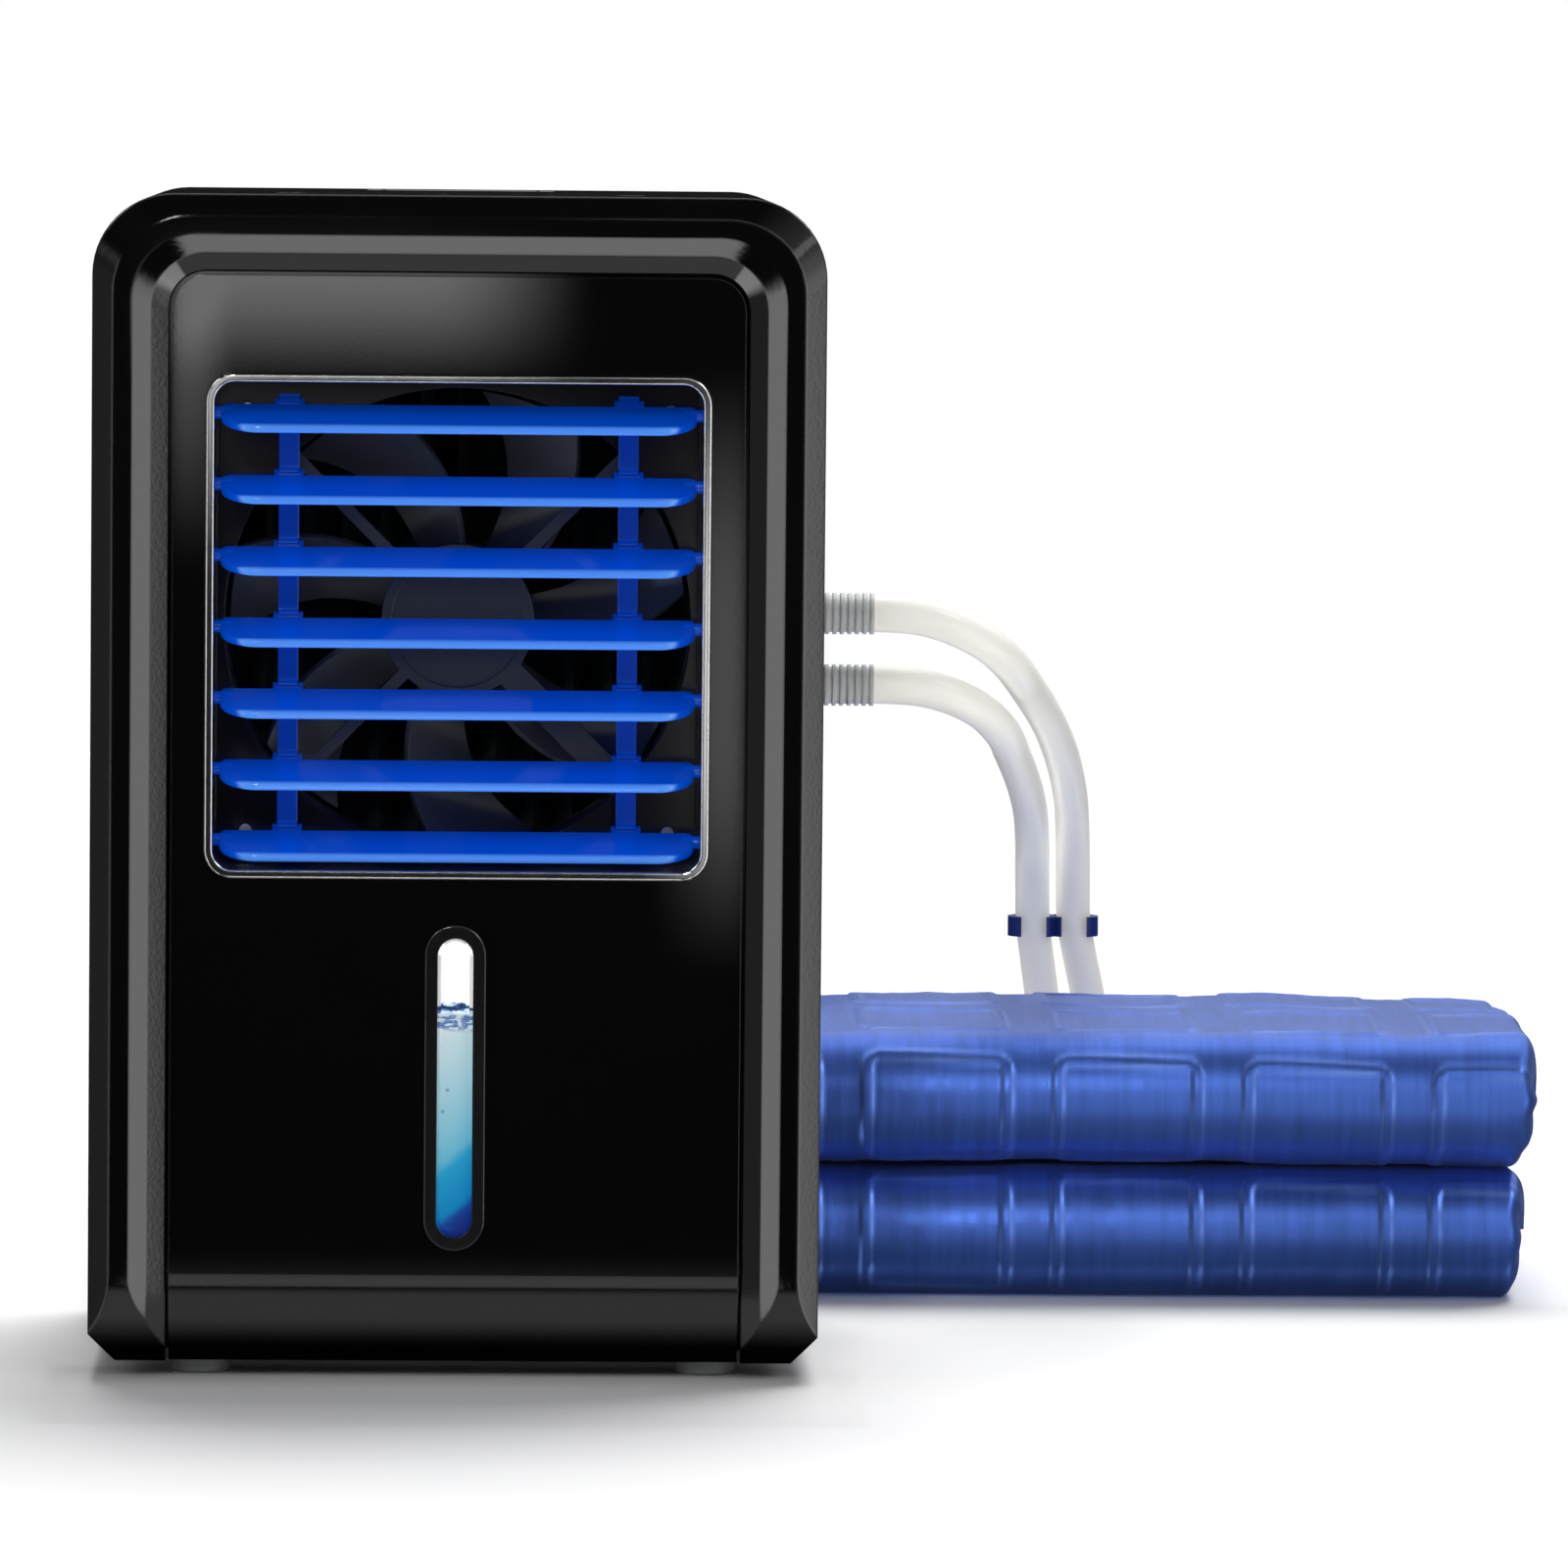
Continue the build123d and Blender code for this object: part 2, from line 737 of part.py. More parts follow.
# Louvre blades, tilted nose down at rest, each with two end pins and two pairs of ears with a rear pin
tilt = radians(blade_tilt)
blade_half = outlet_size / 2 - blade_end_gap
ear_inside = link_width / 2 + ear_gap
pin_depth = blade_pivot_depth + link_pin_reach * cos(tilt)
pin_rise = link_pin_reach * sin(tilt)


def blade_plane(height):
    """Plane of one blade at its pivot; x is across, y runs to its rear edge."""
    return Plane(
        origin=(host_x, front_y + blade_pivot_depth, height),
        x_dir=(1, 0, 0),
        z_dir=(0, -sin(tilt), cos(tilt)),
    )


def blade_section(height, across):
    """Plane across one blade; x runs to its rear edge, y is square to the blade."""
    return Plane(
        origin=(host_x + across, front_y + blade_pivot_depth, height),
        x_dir=(0, cos(tilt), sin(tilt)),
        z_dir=(1, 0, 0),
    )


for number, height in enumerate(blade_heights, 1):
    with BuildPart() as blade:
        with BuildSketch(blade_plane(height)):
            with BuildLine():
                edge = FilletPolyline(
                    (-blade_rear, blade_rear), (-blade_half, blade_rear), (-blade_half, -blade_front),
                    (blade_half, -blade_front), (blade_half, blade_rear), (blade_rear, blade_rear),
                    radius=[blade_tail_radius, blade_nose_radius, blade_nose_radius, blade_tail_radius],
                )
                Line(edge @ 1, edge @ 0)
            make_face()
        extrude(amount=blade_thickness / 2, both=True)
        fillet(blade.faces().filter_by(blade_plane(height)).edges(), blade_edge_round)
        for side in (-1, 1):
            with BuildSketch(blade_section(height, side * blade_half)):
                Circle(pivot_radius)
            extrude(amount=side * (blade_end_gap + duct_wall))
            with BuildSketch(blade_section(height, side * blade_half)):
                Circle(pivot_radius)
            extrude(amount=-side * 2 * pivot_radius)
            for flank in (-1, 1):
                ear_face = side * link_spread + flank * ear_inside
                with BuildSketch(blade_section(height, ear_face)):
                    with Locations(((link_pin_reach + blade_rear - blade_thickness) / 2, 0)):
                        SlotCenterToCenter(link_pin_reach - blade_rear + blade_thickness, ear_height)
                extrude(amount=flank * ear_thickness)
            with BuildSketch(blade_section(height, side * link_spread)):
                with Locations((link_pin_reach, 0)):
                    Circle(link_pin_radius)
            extrude(amount=ear_inside + ear_thickness / 2, both=True)
    finish(blade, f"louvre_blade_{number}")

for name, side in (("louvre_link_left", -1), ("louvre_link_right", 1)):
    with BuildPart() as link:
        link_top = blade_heights[0] + pin_rise + link_tail
        link_foot = blade_heights[-1] + pin_rise - link_eye_radius
        with BuildSketch(side_plane(side * link_spread)):
            with Locations((pin_depth, (link_top + link_foot) / 2)):
                Rectangle(link_thickness, link_top - link_foot)
            with Locations(*[(pin_depth, height + pin_rise) for height in blade_heights]):
                Circle(link_eye_radius)
        extrude(amount=link_width / 2, both=True)
        # each eye is open to the front, where it snaps over the pin
        with BuildSketch(side_plane(side * link_spread)):
            with Locations(*[(pin_depth, height + pin_rise) for height in blade_heights]):
                Circle(link_pin_radius + link_pin_clearance)
                with Locations((-link_eye_radius / 2, 0)):
                    Rectangle(link_eye_radius, link_slot)
        extrude(amount=link_width / 2, both=True, mode=Mode.SUBTRACT)
    finish(link, name)


# Fan: frame with a front hub plate, four struts and a bearing tube
rotor_front = duct_end_depth + hub_plate + rotor_gap
bearing_tube_radius = bearing_radius + bearing_wall

with BuildPart() as fan_frame:
    with BuildSketch(front_plane(duct_end_depth)):
        with Locations((0, outlet_height)):
            RectangleRounded(fan_size, fan_size, fan_corner)
            Circle(fan_bore_radius, mode=Mode.SUBTRACT)
            with GridLocations(fan_hole_spacing, fan_hole_spacing, 2, 2):
                Circle(fan_hole_radius, mode=Mode.SUBTRACT)
    extrude(amount=-fan_thickness)
    with BuildSketch(front_plane(duct_end_depth)):
        with Locations((0, outlet_height)):
            Circle(hub_radius)
    extrude(amount=-hub_plate)
    for turn, width in ((45, strut_width), (135, strut_width), (225, strut_width), (315, cable_strut_width)):
        with BuildSketch(front_plane(duct_end_depth)):
            with Locations((0, outlet_height)):
                with PolarLocations((hub_radius + fan_bore_radius) / 2, 1, start_angle=turn):
                    Rectangle(fan_bore_radius - hub_radius + 2 * strut_depth, width)
        extrude(amount=-strut_depth)
    with BuildSketch(front_plane(duct_end_depth)):
        with Locations((0, outlet_height)):
            Circle(hub_disc_radius)
    extrude(amount=-hub_disc_recess, mode=Mode.SUBTRACT)
    with BuildSketch(front_plane(duct_end_depth + hub_plate)):
        with Locations((0, outlet_height)):
            Circle(bearing_tube_radius)
            Circle(bearing_radius, mode=Mode.SUBTRACT)
    extrude(amount=-bearing_length)
finish(fan_frame, "fan_frame")

with BuildPart() as fan_bearing:
    with BuildSketch(front_plane(duct_end_depth + hub_plate)):
        with Locations((0, outlet_height)):
            Circle(bearing_radius)
            Circle(shaft_radius + shaft_clearance, mode=Mode.SUBTRACT)
    extrude(amount=-bearing_length)
finish(fan_bearing, "fan_bearing")


def rotor_section(reach, chord, pitch, swing):
    """Thin section of a rotor blade, square to the radius that it stands on."""
    angle = radians(swing)
    middle_depth = rotor_front + rotor_length / 2
    origin = (host_x + reach * cos(angle), front_y + middle_depth, outlet_height + reach * sin(angle))
    lean = radians(pitch)
    along = (-sin(angle) * cos(lean), sin(lean), cos(angle) * cos(lean))
    return Plane(origin=origin, x_dir=along, z_dir=(cos(angle), 0, sin(angle))), chord


rotor_middle = (hub_radius + fan_bore_radius) / 2
with BuildPart() as fan_rotor:
    with BuildSketch(front_plane(rotor_front)):
        with Locations((0, outlet_height)):
            Circle(hub_radius)
    extrude(amount=-rotor_length)
    for place in range(rotor_blades):
        start = 360 * place / rotor_blades
        sections = (
            rotor_section(hub_radius - 2 * rotor_wall, rotor_root_chord, rotor_root_pitch, start),
            rotor_section(rotor_middle, (rotor_root_chord + rotor_tip_chord) / 2,
                          (rotor_root_pitch + rotor_tip_pitch) / 2, start + rotor_mid_sweep),
            rotor_section(fan_bore_radius, rotor_tip_chord, rotor_tip_pitch, start + rotor_sweep),
        )
        for plane, chord in sections:
            with BuildSketch(plane):
                Rectangle(chord, rotor_blade_thickness)
        loft()
    with BuildSketch(front_plane(rotor_front)):
        with Locations((0, outlet_height)):
            Circle(fan_bore_radius - rotor_tip_gap)
    extrude(amount=-rotor_length, mode=Mode.INTERSECT)
    # hollow of the hub, open towards the hub plate, with a boss that holds the shaft
    with BuildSketch(front_plane(rotor_front)):
        with Locations((0, outlet_height)):
            Circle(hub_radius - rotor_wall)
    extrude(amount=rotor_wall - rotor_length, mode=Mode.SUBTRACT)
    boss_front = duct_end_depth + hub_plate + bearing_length + rotor_gap / 2
    with BuildSketch(front_plane(boss_front)):
        with Locations((0, outlet_height)):
            Circle(bearing_radius)
    extrude(amount=boss_front - rotor_front - rotor_length)
    with BuildSketch(front_plane(boss_front)):
        with Locations((0, outlet_height)):
            Circle(shaft_radius)
    extrude(amount=boss_front - rotor_front - rotor_length + rotor_wall / 2, mode=Mode.SUBTRACT)
finish(fan_rotor, "fan_rotor")

with BuildPart() as fan_shaft:
    shaft_front = duct_end_depth + hub_plate + rotor_gap / 2
    with BuildSketch(front_plane(shaft_front)):
        with Locations((0, outlet_height)):
            Circle(shaft_radius)
    extrude(amount=shaft_front - rotor_front - rotor_length + rotor_wall / 2)
finish(fan_shaft, "fan_shaft")

with BuildPart() as fan_screws:
    with BuildSketch(front_plane(fan_back)):
        with Locations((0, outlet_height)):
            with GridLocations(fan_hole_spacing, fan_hole_spacing, 2, 2):
                Circle(fan_screw_radius)
    extrude(amount=fan_thickness + duct_plate)
    with BuildSketch(front_plane(fan_back)):
        with Locations((0, outlet_height)):
            with GridLocations(fan_hole_spacing, fan_hole_spacing, 2, 2):
                Circle(fan_screw_head_radius)
    extrude(amount=-fan_screw_head)
finish(fan_screws, "fan_screws")


# Water tank with its lid, the drip tray on the lid, and the wick standing in the tray
tank_rear_depth = host_depth - wall - tank_rear_gap
tank_middle = (tank_front_depth + tank_rear_depth) / 2
tank_length = tank_rear_depth - tank_front_depth
tank_width = 2 * (post_x - post_radius - tank_side_gap)
tank_top = outlet_height - fan_size / 2 - tray_fan_gap - tray_height
tank_rim = tank_top - tank_lid_thickness
tank_height = tank_rim - floor_inside
wick_front = fan_back + wick_gap
wick_frame_half = wick_width / 2 + wick_border
wick_frame_back = wick_front + wick_thickness + wick_back_lip
wick_foot = tank_top + tray_floor
wick_low = wick_foot + wick_border
wick_high = outlet_height + wick_width / 2
tray_front = wick_front - tray_margin / 2
tray_back = wick_frame_back + tray_margin / 2

with BuildPart() as water_tank:
    with BuildSketch(level_plane(floor_inside)):
        with Locations((0, tank_middle)):
            RectangleRounded(tank_width, tank_length, tank_corner)
    extrude(amount=tank_height)
    with BuildSketch(level_plane(floor_inside + tank_wall)):
        with Locations((0, tank_middle)):
            RectangleRounded(tank_width - 2 * tank_wall, tank_length - 2 * tank_wall, tank_corner - tank_wall)
    extrude(amount=tank_height, mode=Mode.SUBTRACT)
    with BuildSketch(front_plane(tank_front_depth)):
        with Locations((0, chamber_spout_height)):
            Circle(chamber_spout_radius + water_gap)
    extrude(amount=-tank_wall, mode=Mode.SUBTRACT)
finish(water_tank, "water_tank")

with BuildPart() as tank_lid:
    with BuildSketch(level_plane(tank_rim)):
        with Locations((0, tank_middle)):
            RectangleRounded(tank_width, tank_length, tank_corner)
        with Locations((supply_tube_x, connector_depth), (return_tube_x, connector_depth)):
            Circle(tube_radius + lid_hole_gap, mode=Mode.SUBTRACT)
        with Locations((0, filler_depth)):
            Rectangle(funnel_neck + 2 * lid_hole_gap, funnel_neck + 2 * lid_hole_gap, mode=Mode.SUBTRACT)
        with Locations((drain_x, (wick_front + wick_frame_back) / 2)):
            Circle(chamber_spout_radius, mode=Mode.SUBTRACT)
    extrude(amount=tank_lid_thickness)
finish(tank_lid, "tank_lid")

with BuildPart() as drip_tray:
    tray_depth = tray_back - tray_front + 2 * tray_wall
    with BuildSketch(level_plane(tank_top)):
        with Locations((0, (tray_front + tray_back) / 2)):
            RectangleRounded(2 * wick_frame_half + tray_margin + 2 * tray_wall, tray_depth, tray_wall)
    extrude(amount=tray_height)
    with BuildSketch(level_plane(wick_foot)):
        with Locations((0, (tray_front + tray_back) / 2)):
            Rectangle(2 * wick_frame_half + tray_margin, tray_back - tray_front)
    extrude(amount=tray_height, mode=Mode.SUBTRACT)
    with BuildSketch(level_plane(tank_top)):
        with Locations((drain_x, (wick_front + wick_frame_back) / 2)):
            Circle(chamber_spout_radius)
    extrude(amount=tray_floor, mode=Mode.SUBTRACT)
finish(drip_tray, "drip_tray")

with BuildPart() as wick_frame:
    with BuildSketch(front_plane(wick_front)):
        with Locations((0, (wick_foot + wick_high + wick_border) / 2)):
            Rectangle(2 * wick_frame_half, wick_high + wick_border - wick_foot)
        with Locations((0, (wick_low + wick_high) / 2)):
            Rectangle(wick_width, wick_high - wick_low, mode=Mode.SUBTRACT)
    extrude(amount=-wick_thickness)
    with BuildSketch(front_plane(wick_front + wick_thickness)):
        with Locations((0, (wick_foot + wick_high + wick_border) / 2)):
            Rectangle(2 * wick_frame_half, wick_high + wick_border - wick_foot)
        with Locations((0, (wick_low + wick_high) / 2)):
            back_opening = wick_high - wick_low - 2 * wick_border
            Rectangle(wick_width - 2 * wick_border, back_opening, mode=Mode.SUBTRACT)
    extrude(amount=-wick_back_lip)
finish(wick_frame, "wick_frame")

with BuildPart() as cooling_wick:
    pleat = wick_width / wick_pleats
    fold_depth = wick_thickness - wick_sheet
    front_edge = [(-wick_width / 2 + pleat * place / 2, wick_front + (place % 2) * fold_depth)
                  for place in range(2 * wick_pleats + 1)]
    back_edge = [(x, y + wick_sheet) for x, y in reversed(front_edge)]
    with BuildSketch(level_plane(wick_low)):
        with BuildLine():
            Polyline(*front_edge, *back_edge, close=True)
        make_face()
    extrude(amount=wick_high - wick_low)
finish(cooling_wick, "cooling_wick")


# Pump: motor pot with the impeller chamber on top, cover, impeller and shaft
pump_foot = floor_inside + tank_wall
pump_top = pump_foot + pump_height
chamber_floor = pump_top - pump_chamber_depth
spout_height = chamber_floor + pump_chamber_depth / 2

with BuildPart() as pump_housing:
    with BuildSketch(level_plane(pump_foot)):
        with Locations((pump_x, connector_depth)):
            Circle(pump_radius)
    extrude(amount=pump_height)
    with BuildSketch(side_plane(pump_x)):
        with Locations((connector_depth, spout_height)):
            Circle(pump_spout_radius)
    extrude(amount=spout_end - pump_x)
    with BuildSketch(level_plane(chamber_floor)):
        with Locations((pump_x, connector_depth)):
            Circle(pump_chamber_radius)
    extrude(amount=pump_chamber_depth, mode=Mode.SUBTRACT)
    with BuildSketch(level_plane(chamber_floor)):
        with Locations((pump_x, connector_depth)):
            Circle(shaft_radius + shaft_clearance)
    extrude(amount=-pump_shaft_bore_depth, mode=Mode.SUBTRACT)
    with BuildSketch(side_plane(pump_x)):
        with Locations((connector_depth, spout_height)):
            Circle(pump_spout_radius / 2)
    extrude(amount=spout_end - pump_x, mode=Mode.SUBTRACT)
finish(pump_housing, "pump_housing")

with BuildPart() as pump_cover:
    with BuildSketch(level_plane(pump_top)):
        with Locations((pump_x, connector_depth)):
            Circle(pump_radius)
            with PolarLocations((pump_radius + pump_inlet_radius) / 2, 8):
                Circle(pump_inlet_radius / 2, mode=Mode.SUBTRACT)
    extrude(amount=pump_cover_thickness)
    fillet(pump_cover.faces().sort_by(Axis.Z)[-1].edges().sort_by(SortBy.LENGTH)[-1], pump_cover_round)
finish(pump_cover, "pump_cover")

with BuildPart() as pump_impeller:
    disc_low = chamber_floor + impeller_gap
    with BuildSketch(level_plane(disc_low)):
        with Locations((pump_x, connector_depth)):
            Circle(impeller_radius)
    extrude(amount=impeller_disc)
    with BuildSketch(level_plane(disc_low)):
        with Locations((pump_x, connector_depth)):
            Circle(impeller_hub_radius)
    extrude(amount=impeller_disc + impeller_vane_height)
    # each vane curves through three points, from the hub to just inside the rim
    vane_points = (
        (impeller_vane_root, 0),
        (impeller_vane_bend, impeller_bend_turn),
        (impeller_radius - impeller_vane_tip_gap, impeller_tip_turn),
    )
    for place in range(impeller_vanes):
        corners = []
        for reach, turn in vane_points:
            angle = radians(360 * place / impeller_vanes + turn)
            corners.append((pump_x + reach * cos(angle), connector_depth + reach * sin(angle)))
        with BuildSketch(level_plane(disc_low)):
            with BuildLine():
                vane = ThreePointArc(*corners)
                offset(vane, impeller_vane_thickness / 2, side=Side.BOTH)
            make_face()
        extrude(amount=impeller_disc + impeller_vane_height)
    with BuildSketch(level_plane(disc_low)):
        with Locations((pump_x, connector_depth)):
            Circle(shaft_radius)
    extrude(amount=impeller_disc + impeller_vane_height, mode=Mode.SUBTRACT)
finish(pump_impeller, "pump_impeller")

with BuildPart() as pump_shaft:
    shaft_low = chamber_floor - pump_shaft_bore_depth + impeller_gap
    with BuildSketch(level_plane(shaft_low)):
        with Locations((pump_x, connector_depth)):
            Circle(shaft_radius)
    extrude(amount=disc_low + impeller_disc + impeller_vane_height - shaft_low)
finish(pump_shaft, "pump_shaft")


# Hose connectors, one profile turned about the axis of each, and their nuts inside the wall
groove_width = connector_sleeve / (2 * connector_grooves + 1)

for name, height in (("supply_barb", supply_height), ("return_barb", return_height)):
    with BuildPart() as connector:
        connector_middle = (host_x, front_y + connector_depth, height)
        with BuildSketch(Plane(origin=connector_middle, x_dir=(1, 0, 0), z_dir=(0, -1, 0))):
            with BuildLine():
                Polyline(
                    (connector_inner, connector_bore),
                    (connector_inner, connector_thread_radius),
                    (half_width, connector_thread_radius),
                    (half_width, connector_flange_radius),
                    (half_width + connector_flange, connector_flange_radius),
                    (half_width + connector_flange, connector_sleeve_radius),
                    (connector_end, connector_sleeve_radius),
                    (connector_end, connector_bore),
                    close=True,
                )
            make_face()
            for place in range(connector_grooves):
                groove_start = half_width + connector_flange + groove_width * (2 * place + 1)
                with Locations((groove_start + groove_width / 2, connector_sleeve_radius)):
                    Rectangle(groove_width, 2 * connector_groove, mode=Mode.SUBTRACT)
        revolve(axis=Axis(connector_middle, (1, 0, 0)))
    finish(connector, name)

with BuildPart() as barb_nuts:
    with BuildSketch(side_plane(half_width - wall)):
        with Locations((connector_depth, supply_height), (connector_depth, return_height)):
            RegularPolygon(nut_across / 2, 6, major_radius=False)
            Circle(connector_thread_radius, mode=Mode.SUBTRACT)
    extrude(amount=-nut_thickness)
finish(barb_nuts, "barb_nuts")

with BuildPart() as supply_tube:
    with BuildLine():
        FilletPolyline(
            (host_x + spout_end, front_y + connector_depth, spout_height),
            (host_x + supply_tube_x, front_y + connector_depth, spout_height),
            (host_x + supply_tube_x, front_y + connector_depth, supply_height),
            (host_x + connector_inner, front_y + connector_depth, supply_height),
            radius=tube_bend,
        )
    with BuildSketch(side_plane(spout_end)):
        with Locations((connector_depth, spout_height)):
            Circle(tube_radius)
    sweep()
finish(supply_tube, "supply_tube")

with BuildPart() as return_tube:
    return_tube_foot = tank_rim - return_tube_reach
    with BuildLine():
        FilletPolyline(
            (host_x + connector_inner, front_y + connector_depth, return_height),
            (host_x + return_tube_x, front_y + connector_depth, return_height),
            (host_x + return_tube_x, front_y + connector_depth, return_tube_foot),
            radius=tube_bend,
        )
    with BuildSketch(side_plane(connector_inner)):
        with Locations((connector_depth, return_height)):
            Circle(tube_radius)
    sweep()
finish(return_tube, "return_tube")


# Level window: dark ring with a collar through the panel, lens, white chamber behind, and its water
lens_width = gauge_width - 2 * lens_gap
lens_length = gauge_length - 2 * lens_gap
well_width = lens_width - 2 * lens_seat
well_length = lens_length - 2 * lens_seat

with BuildPart() as gauge_bezel:
    with BuildSketch(front_plane(panel_recess)):
        with Locations((0, gauge_height)):
            SlotOverall(gauge_ring_length, gauge_ring_width, rotation=90)
    extrude(amount=gauge_ring_proud)
    fillet(gauge_bezel.faces().sort_by(Axis.Y)[0].edges(), gauge_ring_round)
    with BuildSketch(front_plane(panel_recess)):
        with Locations((0, gauge_height)):
            SlotOverall(collar_length, collar_width, rotation=90)
    extrude(amount=-panel_thickness)
    with BuildSketch(front_plane(0)):
        with Locations((0, gauge_height)):
            SlotOverall(gauge_length, gauge_width, rotation=90)
    extrude(amount=-2 * panel_back, mode=Mode.SUBTRACT)
finish(gauge_bezel, "gauge_bezel")

with BuildPart() as gauge_lens:
    with BuildSketch(front_plane(panel_back)):
        with Locations((0, gauge_height)):
            SlotOverall(lens_length, lens_width, rotation=90)
    extrude(amount=lens_thickness)
    fillet(gauge_lens.faces().sort_by(Axis.Y)[0].edges(), lens_round)
finish(gauge_lens, "gauge_lens")

with BuildPart() as gauge_chamber:
    with BuildSketch(front_plane(panel_back)):
        with Locations((0, gauge_height)):
            SlotOverall(well_length + 2 * chamber_wall, well_width + 2 * chamber_wall, rotation=90)
    extrude(amount=-chamber_depth - chamber_wall)
    with BuildSketch(front_plane(panel_back)):
        with Locations((0, gauge_height)):
            SlotOverall(well_length, well_width, rotation=90)
    extrude(amount=-chamber_depth, mode=Mode.SUBTRACT)
    with BuildSketch(front_plane(panel_back + chamber_depth)):
        with Locations((0, chamber_spout_height)):
            Circle(chamber_spout_radius)
    extrude(amount=panel_back + chamber_depth - tank_front_depth - tank_wall)
    with BuildSketch(front_plane(panel_back + chamber_depth)):
        with Locations((0, chamber_spout_height)):
            Circle(chamber_spout_radius / 2)
    extrude(amount=panel_back + chamber_depth - tank_front_depth - tank_wall, mode=Mode.SUBTRACT)
finish(gauge_chamber, "gauge_chamber")

with BuildPart() as gauge_water:
    with BuildSketch(front_plane(panel_back + water_gap)):
        with Locations((0, gauge_height)):
            SlotOverall(well_length - 2 * water_gap, well_width - 2 * water_gap, rotation=90)
        with Locations((0, water_level + gauge_length / 2)):
            Rectangle(gauge_width, gauge_length, mode=Mode.SUBTRACT)
    extrude(amount=2 * water_gap - chamber_depth)
finish(gauge_water, "gauge_water")


# Control board with its switches, and the three buttons over them
with BuildPart() as control_board:
    with BuildSketch(level_plane(board_top)):
        with Locations((0, button_depth)):
            RectangleRounded(board_length, board_width, board_thickness)
            with Locations((-board_post_x, 0), (board_post_x, 0)):
                Circle(board_post_radius / 2, mode=Mode.SUBTRACT)
    extrude(amount=-board_thickness)
finish(control_board, "control_board")

with BuildPart() as button_switches:
    with BuildSketch(level_plane(board_top)):
        with Locations((0, button_depth)):
            with GridLocations(button_spacing, 0, 3, 1):
                RectangleRounded(switch_size, switch_size, switch_well)
    extrude(amount=switch_height)
    with BuildSketch(level_plane(switch_top)):
        with Locations((0, button_depth)):
            with GridLocations(button_spacing, 0, 3, 1):
                Circle(button_stem_radius + button_gap)
    extrude(amount=-(stem_entry + button_travel + switch_well), mode=Mode.SUBTRACT)
finish(button_switches, "button_switches")

flange_top = deck_inside - button_seat_gap
for place, name in ((-1, "power_button"), (0, "fan_button"), (1, "timer_button")):
    with BuildPart() as button:
        with BuildSketch(level_plane(flange_top)):
            with Locations((place * button_spacing, button_depth)):
                Circle(button_radius)
        extrude(amount=pocket_floor + button_proud - flange_top)
        fillet(button.faces().sort_by(Axis.Z)[-1].edges(), button_round)
        with BuildSketch(level_plane(flange_top)):
            with Locations((place * button_spacing, button_depth)):
                Circle(button_flange_radius)
        extrude(amount=-button_flange)
        with BuildSketch(level_plane(flange_top - button_flange)):
            with Locations((place * button_spacing, button_depth)):
                Circle(button_stem_radius)
        extrude(amount=-button_stem)
    finish(button, name)


# Filler lid with its plug and hinge barrel, the pin, and the funnel down to the tank
lid_floor = lid_pocket_floor + lid_floor_gap
lid_rear = hinge_depth - barrel_neck
with BuildPart() as filler_lid:
    with BuildSketch(level_plane(lid_floor)):
        with Locations((0, (lid_front_depth + lid_rear) / 2)):
            Rectangle(2 * lid_half, lid_rear - lid_front_depth)
    extrude(amount=lid_thickness)
    fillet(filler_lid.faces().sort_by(Axis.Z)[-1].edges(), lid_round)
    with BuildSketch(level_plane(lid_floor)):
        with Locations((0, filler_depth)):
            RectangleRounded(filler_length - 2 * lid_plug_gap, filler_width - 2 * lid_plug_gap, lid_plug)
    extrude(amount=-lid_plug)
    with BuildSketch(side_plane()):
        with Locations((hinge_depth, hinge_height)):
            Circle(barrel_radius)
        with Locations((hinge_depth - barrel_neck, lid_floor + lid_thickness / 2)):
            Rectangle(2 * barrel_neck, lid_thickness - 2 * lid_floor_gap)
    extrude(amount=barrel_length / 2, both=True)
    with BuildSketch(side_plane()):
        with Locations((hinge_depth, hinge_height)):
            Circle(hinge_pin_radius + hinge_pin_clearance)
    extrude(amount=barrel_length, both=True, mode=Mode.SUBTRACT)
finish(filler_lid, "filler_lid")

with BuildPart() as filler_hinge_pin:
    with BuildSketch(side_plane()):
        with Locations((hinge_depth, hinge_height)):
            Circle(hinge_pin_radius)
    extrude(amount=barrel_length / 2 + hinge_ear_gap + hinge_ear_width, both=True)
finish(filler_hinge_pin, "filler_hinge_pin")

with BuildPart() as filler_funnel:
    for inset, mode in ((0, Mode.ADD), (funnel_wall, Mode.SUBTRACT)):
        mouth_length = filler_length + 2 * (funnel_margin - inset)
        mouth_width = filler_width + 2 * (funnel_margin - inset)
        neck = funnel_neck - 2 * inset
        with BuildSketch(level_plane(seat_bottom)):
            with Locations((0, filler_depth)):
                RectangleRounded(mouth_length, mouth_width, funnel_neck_radius - inset)
        with BuildSketch(level_plane(seat_bottom - funnel_taper)):
            with Locations((0, filler_depth)):
                RectangleRounded(neck, neck, funnel_neck_radius - inset)
        loft(ruled=True, mode=mode)
        with BuildSketch(level_plane(seat_bottom - funnel_taper)):
            with Locations((0, filler_depth)):
                RectangleRounded(neck, neck, funnel_neck_radius - inset)
        extrude(amount=tank_rim - funnel_reach - seat_bottom + funnel_taper, mode=mode)
finish(filler_funnel, "filler_funnel")


